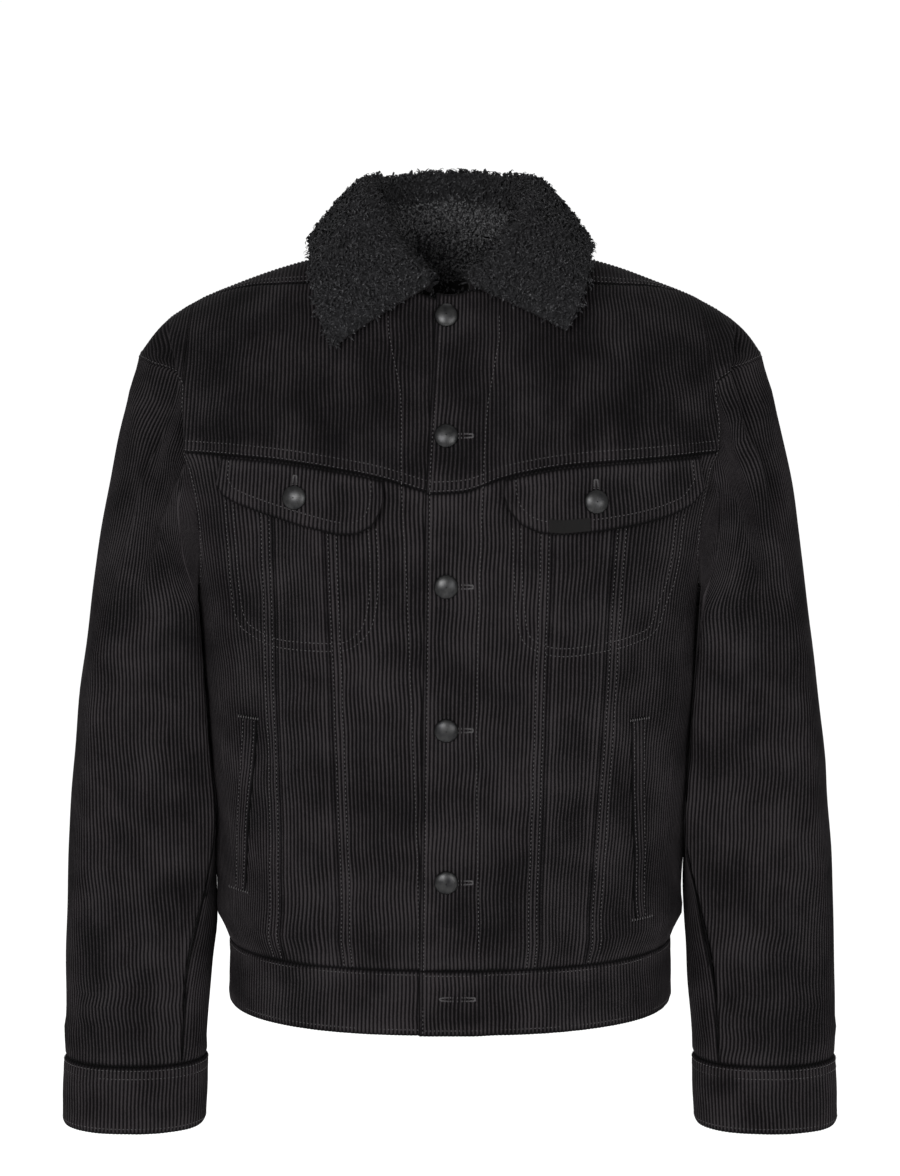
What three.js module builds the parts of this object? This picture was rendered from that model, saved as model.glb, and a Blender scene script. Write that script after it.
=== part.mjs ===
// A boxy corduroy jacket with a sherpa collar, filled out as if worn.
// Millimetres, +Z up. The front faces -Y and the wearer's left is +X.
// The origin lies at the middle of the neck, level with the two high shoulder points.
import * as THREE from "three";

// Cloth and seams
const CORDUROY = 2.0; // wall of shell cloth with its facing
const SEAM = 0.3; // space between two pieces at a seam
const PILE = 9.0; // sherpa as deep as its fleece reaches
const LINING = 6.0; // sherpa lining, pressed by wear

// Heights along the body
const WAIST_SEAM = -574;
const HEM = -628;
const YOKE_SEAM_SIDE = -161;
const YOKE_SEAM_DIP = 22; // how far the front yoke seam drops towards the front edge
const YOKE_SEAM_DIP_FROM = -25;
const YOKE_SEAM_DIP_TO = 95;
const BACK_YOKE_SEAM = -161;

// The body's form, a row for each level section: half width, depth in front of the
// shoulder line, depth behind it, and how square the corners are in front and behind.
const BODY = [
  { z: 24, half: 40, front: 10, back: 73, squareFront: 2.0, squareBack: 2.0 },
  { z: 8, half: 60, front: 27, back: 79, squareFront: 2.0, squareBack: 2.0 },
  { z: 0, half: 72, front: 40, back: 82, squareFront: 2.0, squareBack: 2.0 },
  { z: -16, half: 131, front: 60, back: 90, squareFront: 2.0, squareBack: 2.0 },
  { z: -29, half: 168, front: 72, back: 96, squareFront: 2.1, squareBack: 2.1 },
  { z: -42, half: 199, front: 81, back: 101, squareFront: 2.1, squareBack: 2.1 },
  { z: -61, half: 231, front: 89, back: 107, squareFront: 2.3, squareBack: 2.2 },
  { z: -85, half: 252, front: 98, back: 113, squareFront: 2.5, squareBack: 2.3 },
  { z: -97, half: 256, front: 103, back: 115, squareFront: 2.5, squareBack: 2.4 },
  { z: -120, half: 250, front: 112, back: 119, squareFront: 2.7, squareBack: 2.5 },
  { z: -165, half: 232, front: 126, back: 124, squareFront: 3.1, squareBack: 2.7 },
  { z: -210, half: 219, front: 135, back: 127, squareFront: 3.1, squareBack: 2.7 },
  { z: -250, half: 212, front: 140, back: 127, squareFront: 2.9, squareBack: 2.6 },
  { z: -300, half: 207, front: 140, back: 126, squareFront: 2.7, squareBack: 2.5 },
  { z: -360, half: 203, front: 138, back: 124, squareFront: 2.6, squareBack: 2.5 },
  { z: -430, half: 198, front: 136, back: 122, squareFront: 2.5, squareBack: 2.4 },
  { z: -500, half: 193, front: 134, back: 121, squareFront: 2.4, squareBack: 2.4 },
  { z: -550, half: 189, front: 132, back: 120, squareFront: 2.4, squareBack: 2.4 },
  { z: WAIST_SEAM, half: 184, front: 129, back: 118, squareFront: 2.4, squareBack: 2.4 },
  { z: HEM, half: 185, front: 131, back: 119, squareFront: 2.4, squareBack: 2.4 },
];

// Neck seam, as an oval seen from above
const NECK = { half: 72, front: 80, back: 80 };
const SHOULDER_SEAM_AT_NECK = 58; // degrees round the neck from the front, where the shoulder seam ends

// Armhole, seen from the side: 0 degrees is its top, 90 its front, 180 the underarm
const ARMHOLE = { top: -97, bottom: -297, front: -83, back: 91, square: 2.3 };
const ARMHOLE_STEP = 12; // degrees
const SHOULDER_SEAM_AT_ARMHOLE = -12; // it ends just behind the shoulder's top
const YOKE_SEAM_AT_ARMHOLE = 72;
const UNDERARM = 180;
const BACK_YOKE_SEAM_AT_ARMHOLE = 288;

// Each front's own measures from the centre line outwards, at the yoke and at the waist.
// The wearer's left front laps over the right one.
const FRONTS = [
  {
    side: "left", sign: 1, lap: 2.6,
    edge: { neck: -11, yoke: -19, hem: -25 },
    innerSeam: { yoke: 80, waist: 70 },
    outerSeam: { yoke: 132, waist: 108 },
    flapEdge: [
      { x: 42, z: -190 }, { x: 46, z: -203 }, { x: 56, z: -214 }, { x: 70, z: -220 }, { x: 88, z: -221.5 },
      { x: 119, z: -219 }, { x: 150, z: -214 }, { x: 172, z: -208 }, { x: 187, z: -201 }, { x: 198, z: -188 },
    ],
    flapButton: { x: 114, z: -195 },
    welt: { top: 151, bottom: 157 },
  },
  {
    side: "right", sign: -1, lap: 0,
    edge: { neck: -6, yoke: -6, hem: -6 },
    innerSeam: { yoke: 100, waist: 87 },
    outerSeam: { yoke: 141, waist: 134 },
    flapEdge: [
      { x: 52, z: -190 }, { x: 54, z: -203 }, { x: 61, z: -215 }, { x: 73, z: -221 }, { x: 88, z: -221.5 },
      { x: 115, z: -215 }, { x: 145, z: -206 }, { x: 165, z: -199 }, { x: 176, z: -193 }, { x: 182, z: -184 },
    ],
    flapButton: { x: 121, z: -192 },
    welt: { top: 160, bottom: 167 },
  },
];
const LAP_FLAT = 20; // the lap lies level this far past the centre line, then slopes away
const LAP_SLOPE = 16;
const EDGE_SWING = 130; // height over which the front edge swings to its line at the neck

// Pocket flap and welt
// stand: its free edge off the panel; seam: its sewn edge under the yoke seam
const FLAP = { wall: 2.4, lift: 0.4, stand: 2.0, seam: 1.5, columns: 13, rows: 4 };
const WELT = { top: -372, bottom: -510, width: 14, wall: 1.6, lift: 0.4, columns: 2, rows: 8 };

// Sleeve form below the armhole, a row for each level section
const SLEEVE = [
  { z: -300, outer: 297, inner: 209, middle: 4, depth: 80, square: 2.1 },
  { z: -335, outer: 303, inner: 207.5, middle: 2, depth: 74, square: 2.1 },
  { z: -400, outer: 311, inner: 203.5, middle: -2, depth: 65, square: 2.1 },
  { z: -467, outer: 316, inner: 199.5, middle: -6, depth: 57, square: 2.2 },
  { z: -535, outer: 320, inner: 196, middle: -10, depth: 51, square: 2.2 },
  { z: -602, outer: 322, inner: 200.5, middle: -14, depth: 46, square: 2.2 },
  { z: -650, outer: 323, inner: 204, middle: -17, depth: 43, square: 2.2 },
  { z: -676, outer: 323, inner: 205.5, middle: -18, depth: 42, square: 2.2 },
  { z: -734, outer: 325, inner: 208, middle: -20, depth: 40, square: 2.2 },
];
const CUFF_TOP = -676;
const CUFF_BOTTOM = -734;
const CUFF_WALL = 3.0;
const CUFF_PROUD = 1.0; // the cuff stands out over the sleeve it gathers
const CUFF_ROWS = 3;
const SLEEVE_HEAD_ROWS = 5;
const SLEEVE_HEAD_BULGE = 6;
const SLEEVE_START = 0.8;
const SLEEVE_FRONT_SEAM = 132; // degrees round the sleeve, from its outside through its front
const SLEEVE_BACK_SEAM = 252;

// Collar, a row for each station from the centre back round to the front end:
// degrees round the neck, then where it rolls over, then a point near its free edge.
const COLLAR = [
  { turn: 0, rollOut: 3, rollUp: 40, edgeX: 0, edgeY: 95, edgeZ: -30 },
  { turn: 30, rollOut: 3, rollUp: 41, edgeX: 58, edgeY: 88, edgeZ: -26 },
  { turn: 60, rollOut: 1, rollUp: 41, edgeX: 95, edgeY: 58, edgeZ: -14 },
  { turn: 90, rollOut: -2, rollUp: 37, edgeX: 106, edgeY: 8, edgeZ: -8 },
  { turn: 115, rollOut: -3, rollUp: 27, edgeX: 107, edgeY: -32, edgeZ: -17 },
  { turn: 138, rollOut: -2, rollUp: 17, edgeX: 106, edgeY: -62, edgeZ: -38 },
  { turn: 156, rollOut: 0, rollUp: 10.5, edgeX: 101, edgeY: -82, edgeZ: -60 },
  { turn: 167, rollOut: 1, rollUp: 8, edgeX: 92, edgeY: -92, edgeZ: -78 },
];
const COLLAR_CLOTH = 1.6;
const COLLAR_FOLD = 2.6; // half the space between stand and leaf at the roll
const COLLAR_SEAT = { inset: 2.6, up: 3.0 }; // the neck seam's edge against the body's
const LEAF_STAND_OFF = 4.5; // the leaf's cloth over the shoulder
const COLLAR_STATIONS = 28;
const COLLAR_END = { from: 148, pile: 5.5 }; // the pile thins towards the front ends
const LEAF_STEPS = 5;

// Lining seen through the neck
const NECK_LINING = { half: 66, turn: 44, bottom: -104, columns: 10, rows: 7, inset: 6.5, top: 2.2 };
const LABEL = { half: 31, top: -33, bottom: -70, wall: 1.0, lift: 0.5, columns: 6, rows: 3 };

// Buttons
const BUTTON = { radius: 9.6, rim: 1.4, crown: 4.2, lift: 0.4, segments: 16, arc: 3 };
const PLACKET_BUTTONS = [-53, -145, -261, -376, -500]; // heights of their middles
const PLACKET_BUTTON_X = -3;
const FLAP_LABEL = { inner: 77, outer: 109, up: 1.5, height: 10, wall: 0.8, lift: 0.35, columns: 4, rows: 2 };

// Waistband
const BAND = { wall: 2.8, proud: 0.8, columns: 52, rows: 1, lapShare: 0.25 }; // the lap is in its first quarter

// How finely the body's pieces are divided
const LOWER_ROWS = 10;
const FRONT_COLUMNS = { centre: 4, pocket: 2, side: 4, crowding: 0.85 }; // closer towards the armhole
const YOKE_COLUMNS = FRONT_COLUMNS.centre + FRONT_COLUMNS.pocket + FRONT_COLUMNS.side;
const FRONT_YOKE_ROWS = { edge: 3, all: 11 };
const BACK_YOKE_ROWS = { neck: 6, all: 12 };

// How points are brought onto the body's form
const GRADIENT_STEP = 0.5;
const ONTO_ROUNDS = 12;
const NECK_SEARCH = { low: -140, rounds: 40 };
const MERGE = 1e4; // points that agree to a ten-thousandth of a millimetre are one

const DEGREE = Math.PI / 180;
const lerp = (a, b, t) => a + (b - a) * t;
const clamp01 = (t) => Math.min(1, Math.max(0, t));
const ease = (t) => {
  const c = clamp01(t);
  return c * c * (3 - 2 * c);
};
const signedPower = (v, p) => Math.sign(v) * Math.abs(v) ** p;

// A value of a table at a height or a turn, on a smooth curve through its rows.
function fromTable(table, by, at, key) {
  const down = table[0][by] > table[1][by];
  const rows = down ? [...table].reverse() : table;
  const x = Math.min(rows.at(-1)[by], Math.max(rows[0][by], at));
  let i = 0;
  while (i < rows.length - 2 && x > rows[i + 1][by]) i += 1;
  const slope = (k) => {
    const a = rows[Math.max(0, k - 1)];
    const b = rows[Math.min(rows.length - 1, k + 1)];
    return (b[key] - a[key]) / (b[by] - a[by]);
  };
  const width = rows[i + 1][by] - rows[i][by];
  const t = (x - rows[i][by]) / width;
  const t2 = t * t;
  const t3 = t2 * t;
  return (
    (2 * t3 - 3 * t2 + 1) * rows[i][key] +
    (t3 - 2 * t2 + t) * width * slope(i) +
    (3 * t2 - 2 * t3) * rows[i + 1][key] +
    (t3 - t2) * width * slope(i + 1)
  );
}

// The level section of the body at a height.
function sectionAt(z, behind) {
  return {
    half: fromTable(BODY, "z", z, "half"),
    depth: fromTable(BODY, "z", z, behind ? "back" : "front"),
    square: fromTable(BODY, "z", z, behind ? "squareBack" : "squareFront"),
  };
}

// How far out a point lies, where 1 is on the body's surface.
function reach(p) {
  const s = sectionAt(p.z, p.y > 0);
  const sum = Math.abs(p.x / s.half) ** s.square + Math.abs(p.y / s.depth) ** s.square;
  return sum ** (1 / s.square);
}

// How fast that reach grows along each axis.
function gradient(p) {
  const along = (axis) => {
    const a = p.clone();
    const b = p.clone();
    a[axis] -= GRADIENT_STEP;
    b[axis] += GRADIENT_STEP;
    return (reach(b) - reach(a)) / (2 * GRADIENT_STEP);
  };
  return new THREE.Vector3(along("x"), along("y"), along("z"));
}

const outward = (p) => gradient(p).normalize();

// The point of the body's surface that a point comes to when it moves straight out or in.
function ontoBody(p) {
  const q = p.clone();
  for (let k = 0; k < ONTO_ROUNDS; k += 1) {
    const g = gradient(q);
    q.addScaledVector(g, (1 - reach(q)) / g.lengthSq());
  }
  return q;
}

// The body's surface at a distance from the centre line and a height, in front or behind.
const onFace = (x, z, behind) => {
  const s = sectionAt(z, behind);
  const y = s.depth * (1 - Math.abs(x / s.half) ** s.square) ** (1 / s.square);
  return new THREE.Vector3(x, behind ? y : -y, z);
};
const onFront = (x, z) => onFace(x, z, false);
const onBack = (x, z) => onFace(x, z, true);

// The body's surface on the wearer's left at a depth and a height.
const onSide = (y, z) => {
  const s = sectionAt(z, y > 0);
  const x = s.half * (1 - Math.abs(y / s.depth) ** s.square) ** (1 / s.square);
  return new THREE.Vector3(x, y, z);
};

// The height of the body's surface over a point near the neck.
function heightOver(x, y) {
  let { low } = NECK_SEARCH;
  let high = BODY[0].z;
  for (let k = 0; k < NECK_SEARCH.rounds; k += 1) {
    const middle = (low + high) / 2;
    if (reach(new THREE.Vector3(x, y, middle)) > 1) high = middle;
    else low = middle;
  }
  return low;
}

// A point of the neck seam on the wearer's left: 0 degrees is in front, 180 behind.
function onNeck(degrees) {
  const x = NECK.half * Math.sin(degrees * DEGREE);
  const c = Math.cos(degrees * DEGREE);
  const y = -c * (c > 0 ? NECK.front : NECK.back);
  return new THREE.Vector3(x, y, heightOver(x, y));
}

function onArmhole(degrees) {
  const middle = (ARMHOLE.front + ARMHOLE.back) / 2;
  const p = 2 / ARMHOLE.square;
  const z = lerp(ARMHOLE.bottom, ARMHOLE.top, (1 + signedPower(Math.cos(degrees * DEGREE), p)) / 2);
  const y = middle - ((ARMHOLE.back - ARMHOLE.front) / 2) * signedPower(Math.sin(degrees * DEGREE), p);
  return onSide(y, z);
}

// The body's surface at a height, in a direction from its middle: 0 is straight ahead.
function atTurn(angle, z) {
  const p = new THREE.Vector3(Math.sin(angle), -Math.cos(angle), z);
  return p.multiplyScalar(1 / reach(p)).setZ(z);
}

// The armhole's points from one turn to another, a step apart.
function armholeRun(from, to) {
  const steps = Math.abs(to - from) / ARMHOLE_STEP;
  return Array.from({ length: steps + 1 }, (_, k) => onArmhole(lerp(from, to, k / steps)));
}

// n + 1 points of a curve given at 0 to 1.
const trace = (n, at) => Array.from({ length: n + 1 }, (_, k) => at(k / n));

// The body's surface between four edges: rows run up from the lower edge.
function spread(lower, upper, inner, outer) {
  const columns = lower.length - 1;
  const rows = inner.length - 1;
  return trace(rows, (v) => {
    const j = Math.round(v * rows);
    return trace(columns, (u) => {
      const i = Math.round(u * columns);
      const p = new THREE.Vector3()
        .addScaledVector(lower[i], 1 - v)
        .addScaledVector(upper[i], v)
        .addScaledVector(inner[j], 1 - u)
        .addScaledVector(outer[j], u)
        .addScaledVector(lower[0], -(1 - u) * (1 - v))
        .addScaledVector(lower[columns], -u * (1 - v))
        .addScaledVector(upper[0], -(1 - u) * v)
        .addScaledVector(upper[columns], -u * v);
      const edge = i === 0 || j === 0 || i === columns || j === rows;
      return edge ? p : ontoBody(p);
    });
  });
}

// A closed mesh from an outer and an inner grid of points, or from several such pairs that
// share an edge. Points that meet are one, and open edges are joined by a rim.
function closedShell(...layers) {
  const points = [];
  const numbers = new Map();
  const numberOf = (outer, inner) => {
    const key = [...outer.toArray(), ...inner.toArray()].map((v) => Math.round(v * MERGE)).join();
    if (!numbers.has(key)) {
      numbers.set(key, points.length / 6);
      points.push(...outer.toArray(), ...inner.toArray());
    }
    return 2 * numbers.get(key);
  };
  const faces = [];
  const open = new Map();
  const quad = (a, b, c, d) => faces.push(a, b, c, a, c, d);
  const edge = (a, b) => {
    if (!open.delete(`${b},${a}`)) open.set(`${a},${b}`, [a, b]);
  };
  layers.forEach(([outerGrid, innerGrid]) => {
    const ids = outerGrid.map((line, j) => line.map((p, i) => numberOf(p, innerGrid[j][i])));
    for (let j = 0; j < ids.length - 1; j += 1) {
      for (let i = 0; i < ids[j].length - 1; i += 1) {
        const corners = [ids[j][i], ids[j][i + 1], ids[j + 1][i + 1], ids[j + 1][i]];
        const [a, b, c, d] = corners;
        quad(a, b, c, d);
        quad(a + 1, d + 1, c + 1, b + 1);
        corners.forEach((corner, k) => edge(corner, corners[(k + 1) % 4]));
      }
    }
  });
  open.forEach(([a, b]) => quad(b, a, a + 1, b + 1));
  return facingOut(points, faces);
}

// The mesh of these points and faces, turned so that its faces point out.
function facingOut(points, faces) {
  let volume = 0;
  const v = (k) => new THREE.Vector3(points[3 * k], points[3 * k + 1], points[3 * k + 2]);
  for (let f = 0; f < faces.length; f += 3) {
    volume += v(faces[f]).dot(v(faces[f + 1]).cross(v(faces[f + 2])));
  }
  if (volume < 0) {
    for (let f = 0; f < faces.length; f += 3) {
      [faces[f + 1], faces[f + 2]] = [faces[f + 2], faces[f + 1]];
    }
  }
  const geometry = new THREE.BufferGeometry();
  geometry.setAttribute("position", new THREE.Float32BufferAttribute(points, 3));
  geometry.setIndex(faces);
  geometry.computeVertexNormals();
  return geometry;
}

// Draws the edges of a grid in by half a seam, square to each edge.
function trimmed(grid, innerEdge = true) {
  const rows = grid.length - 1;
  const columns = grid[0].length - 1;
  const inwards = (p, inner, before, after) => {
    const along = after.clone().sub(before).normalize();
    const way = inner.clone().sub(p);
    return way.addScaledVector(along, -way.dot(along)).setLength(SEAM / 2);
  };
  const near = (k, last) => [Math.max(0, k - 1), Math.min(last, k + 1)];
  return grid.map((line, j) =>
    line.map((p, i) => {
      const q = p.clone();
      const [left, right] = near(i, columns);
      const [under, over] = near(j, rows);
      if (i === 0 && innerEdge) q.add(inwards(p, line[1], grid[under][i], grid[over][i]));
      if (i === columns) q.add(inwards(p, line[columns - 1], grid[under][i], grid[over][i]));
      if (j === 0) q.add(inwards(p, grid[1][i], line[left], line[right]));
      if (j === rows) q.add(inwards(p, grid[rows - 1][i], line[left], line[right]));
      return q;
    }),
  );
}

// How far a front stands off where it laps over the other one.
const lapAt = (front, x) => front.lap * (1 - ease((x - LAP_FLAT) / LAP_SLOPE));

// A cloth wall on the body: its outer face stands off by lift(p), its inner one lies a wall deeper.
function bodyWall(grid, wall, lift = () => 0) {
  const layer = (depth) =>
    grid.map((line) => line.map((p) => p.clone().addScaledVector(outward(p), lift(p) - depth)));
  return [layer(0), layer(wall)];
}

// A point on the wearer's left, or its mirror image where the sign is -1.
const mirrored = (p, sign) => new THREE.Vector3(sign * p.x, p.y, p.z);

const cloth = new THREE.MeshStandardMaterial({ color: 0x1f1d1e, roughness: 0.9, metalness: 0 });
const fleece = new THREE.MeshStandardMaterial({ color: 0x2b2b2c, roughness: 1, metalness: 0 });
const zinc = new THREE.MeshStandardMaterial({ color: 0x55575a, roughness: 0.35, metalness: 1 });
const satin = new THREE.MeshStandardMaterial({ color: 0x2a2728, roughness: 0.5, metalness: 0 });

const jacket = new THREE.Group();

// Adds a named piece to the jacket.
function add(name, geometry, material) {
  const mesh = new THREE.Mesh(geometry, material);
  mesh.name = name;
  jacket.add(mesh);
  return mesh;
}

// Lines that a front's pieces share, on the wearer's left.
function frontLines(front) {
  const { edge, innerSeam, outerSeam } = front;
  const yokeSeam = (x) => {
    const t = (x - YOKE_SEAM_DIP_FROM) / (YOKE_SEAM_DIP_TO - YOKE_SEAM_DIP_FROM);
    return YOKE_SEAM_SIDE - YOKE_SEAM_DIP * (1 - ease(t));
  };
  const seamX = (seam) => (z) =>
    lerp(seam.yoke, seam.waist, (YOKE_SEAM_SIDE - z) / (YOKE_SEAM_SIDE - WAIST_SEAM));
  const edgeX = (z) => {
    const yoke = yokeSeam(edge.yoke);
    if (z > yoke) return lerp(edge.yoke, edge.neck, ease((z - yoke) / EDGE_SWING));
    return lerp(edge.yoke, edge.hem, (yoke - z) / (yoke - HEM));
  };
  return { yokeSeam, edgeX, innerX: seamX(innerSeam), outerX: seamX(outerSeam) };
}

// The yoke and the three panels of one front.
function buildFront(front) {
  const { yokeSeam, edgeX, innerX, outerX } = frontLines(front);
  const own = (grid) => grid.map((line) => line.map((p) => mirrored(p, front.sign)));
  const lift = (p) => lapAt(front, p.x * front.sign);
  const make = (name, grid) =>
    add(`${name}_${front.side}`, closedShell(bodyWall(own(trimmed(grid)), CORDUROY, lift)), cloth);

  const innerTop = innerX(YOKE_SEAM_SIDE);
  const outerTop = outerX(YOKE_SEAM_SIDE);
  const corner = onArmhole(YOKE_SEAM_AT_ARMHOLE);
  const seamPoint = (x) => onFront(x, yokeSeam(x));
  const centreTop = trace(FRONT_COLUMNS.centre, (t) =>
    seamPoint(lerp(edgeX(yokeSeam(front.edge.yoke)), innerTop, t)),
  );
  const pocketTop = trace(FRONT_COLUMNS.pocket, (t) => seamPoint(lerp(innerTop, outerTop, t)));
  const towardsArmhole = trace(FRONT_COLUMNS.side, (t) =>
    t === 1 ? corner : seamPoint(lerp(outerTop, corner.x, t ** FRONT_COLUMNS.crowding)),
  );

  // From the yoke seam up to the neck, the shoulder seam and the armhole
  const neckStart = front.edge.neck / NECK.half / DEGREE;
  const neckFront = onNeck(neckStart);
  const armholeRise = armholeRun(YOKE_SEAM_AT_ARMHOLE, SHOULDER_SEAM_AT_ARMHOLE);
  const edgeRun = trace(FRONT_YOKE_ROWS.edge, (t) => {
    const z = lerp(yokeSeam(front.edge.yoke), neckFront.z, t);
    return t === 1 ? neckFront : onFront(edgeX(z), z);
  });
  const neckRun = trace(FRONT_YOKE_ROWS.all - FRONT_YOKE_ROWS.edge, (t) =>
    onNeck(lerp(neckStart, SHOULDER_SEAM_AT_NECK, t)),
  );
  const yokeLower = [...centreTop, ...pocketTop.slice(1), ...towardsArmhole.slice(1)];
  const yokeUpper = shoulderSeam(neckRun.at(-1), armholeRise.at(-1));
  const yokeInner = [...edgeRun, ...neckRun.slice(1)];
  make("front_yoke", spread(yokeLower, yokeUpper, yokeInner, resampled(armholeRise, FRONT_YOKE_ROWS.all)));

  // The panels below, split at the two double-stitched seams
  const waistLine = (from, to) => (t) => onFront(lerp(from(WAIST_SEAM), to(WAIST_SEAM), t), WAIST_SEAM);
  const seamLine = (x, top) =>
    trace(LOWER_ROWS, (t) => {
      const z = lerp(WAIST_SEAM, top.z, t);
      return onFront(x(z), z);
    });
  const edgeLine = seamLine(edgeX, centreTop[0]);
  const innerLine = seamLine(innerX, pocketTop[0]);
  const outerLine = seamLine(outerX, towardsArmhole[0]);
  const centreBottom = trace(FRONT_COLUMNS.centre, waistLine(edgeX, innerX));
  const pocketBottom = trace(FRONT_COLUMNS.pocket, waistLine(innerX, outerX));
  make("front_centre", spread(centreBottom, centreTop, edgeLine, innerLine));
  make("front_pocket_panel", spread(pocketBottom, pocketTop, innerLine, outerLine));

  const armholeFall = armholeRun(YOKE_SEAM_AT_ARMHOLE, UNDERARM);
  const sideTop = [...towardsArmhole, ...armholeFall.slice(1)];
  const underarm = armholeFall.at(-1);
  const sideLine = trace(LOWER_ROWS, (t) => onSide(underarm.y, lerp(WAIST_SEAM, underarm.z, t)));
  const sideBottom = levelRun(outerLine[0], sideLine[0], sideTop.length - 1);
  make("front_side", spread(sideBottom, sideTop, outerLine, sideLine));
}

// The shoulder seam over the body's form, from the neck to the armhole.
function shoulderSeam(neckSide, end) {
  return trace(YOKE_COLUMNS, (t) => {
    if (t === 0) return neckSide;
    if (t === 1) return end;
    return ontoBody(neckSide.clone().lerp(end, t));
  });
}

// Points along the body's level section between two of its points, evenly round.
function levelRun(from, to, steps) {
  const turn = (p) => Math.atan2(p.x, -p.y);
  return trace(steps, (t) => atTurn(lerp(turn(from), turn(to), t), from.z));
}

// A run of points put at even spaces.
function resampled(points, steps) {
  const lengths = [0];
  points.slice(1).forEach((p, k) => lengths.push(lengths[k] + p.distanceTo(points[k])));
  return trace(steps, (t) => {
    const at = t * lengths.at(-1);
    let k = 0;
    while (k < points.length - 2 && at > lengths[k + 1]) k += 1;
    return points[k].clone().lerp(points[k + 1], clamp01((at - lengths[k]) / (lengths[k + 1] - lengths[k])));
  });
}

// The flap's free edge at a distance from the centre line.
function flapEdgeAt(edge, x) {
  const found = edge.findIndex((row) => row.x >= x);
  const k = found < 0 ? edge.length - 1 : Math.max(1, found);
  return lerp(edge[k - 1].z, edge[k].z, (x - edge[k - 1].x) / (edge[k].x - edge[k - 1].x));
}

// How far a flap stands off the panel, from its free edge at 0 to its seam at 1.
const flapLift = (v) => FLAP.wall + FLAP.lift + FLAP.stand * (1 - v);

// A pocket's flap with its button.
function buildFlap(front) {
  const { yokeSeam } = frontLines(front);
  const edge = front.flapEdge;
  const across = (u) => lerp(edge[0].x, edge.at(-1).x, u);
  const drop = (x, v) => lerp(flapEdgeAt(edge, x), yokeSeam(x) - FLAP.seam, v);
  const layer = (depth) =>
    trace(FLAP.rows, (v) =>
      trace(FLAP.columns, (u) => {
        const x = across((u + u * u * (3 - 2 * u)) / 2);
        const p = mirrored(onFront(x, drop(x, v)), front.sign);
        return p.clone().addScaledVector(outward(p), flapLift(v) + lapAt(front, x) - depth);
      }),
    );
  add(`pocket_flap_${front.side}`, closedShell([layer(0), layer(FLAP.wall)]), cloth);

  const { x, z } = front.flapButton;
  const v = (z - flapEdgeAt(edge, x)) / (yokeSeam(x) - flapEdgeAt(edge, x));
  addButton(`flap_button_${front.side}`, mirrored(onFront(x, z), front.sign), flapLift(v));
}

// The bare woven tag in the flap's lower edge.
function buildFlapLabel(front) {
  const layer = (depth) =>
    trace(FLAP_LABEL.rows, (v) =>
      trace(FLAP_LABEL.columns, (u) => {
        const x = lerp(FLAP_LABEL.inner, FLAP_LABEL.outer, u);
        const low = flapEdgeAt(front.flapEdge, x);
        const up = FLAP_LABEL.up + FLAP_LABEL.height * v;
        const p = mirrored(onFront(x, low + up), front.sign);
        const lift = flapLift(up / (YOKE_SEAM_SIDE - low)) + FLAP_LABEL.lift + FLAP_LABEL.wall;
        return p.clone().addScaledVector(outward(p), lift - depth);
      }),
    );
  add("flap_label", closedShell([layer(0), layer(FLAP_LABEL.wall)]), satin);
}

// The welt of a side pocket.
function buildWelt(front) {
  const layer = (depth) =>
    trace(WELT.rows, (v) =>
      trace(WELT.columns, (u) => {
        const z = lerp(WELT.bottom, WELT.top, v);
        const middle = lerp(front.welt.bottom, front.welt.top, v);
        const p = mirrored(onFront(middle + WELT.width * (u - 0.5), z), front.sign);
        return p.clone().addScaledVector(outward(p), WELT.lift + WELT.wall - depth);
      }),
    );
  add(`side_welt_${front.side}`, closedShell([layer(0), layer(WELT.wall)]), cloth);
}

// A domed button with its flat back on the cloth.
function addButton(name, place, lift) {
  const dome = trace(BUTTON.arc, (t) => {
    const a = (t * Math.PI) / 2;
    const up = BUTTON.rim + (BUTTON.crown - BUTTON.rim) * Math.sin(a);
    return new THREE.Vector2(BUTTON.radius * Math.cos(a), up);
  });
  dome[BUTTON.arc].x = 0;
  const profile = [new THREE.Vector2(0, 0), new THREE.Vector2(BUTTON.radius, 0), ...dome];
  const normal = outward(place);
  const mesh = add(name, new THREE.LatheGeometry(profile, BUTTON.segments), zinc);
  mesh.quaternion.setFromUnitVectors(new THREE.Vector3(0, 1, 0), normal);
  mesh.position.copy(place).addScaledVector(normal, lift + BUTTON.lift);
}

// The row of buttons down the front that laps over.
function buildPlacketButtons(front) {
  PLACKET_BUTTONS.forEach((z, k) => {
    addButton(`front_button_${k + 1}`, onFront(PLACKET_BUTTON_X, z), front.lap);
  });
}

// Both halves of a back piece, which meet on the centre line.
const bothHalves = (grid, wall) =>
  [grid, grid.map((line) => line.map((p) => mirrored(p, -1)).reverse())].map((half) => bodyWall(half, wall));

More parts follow.
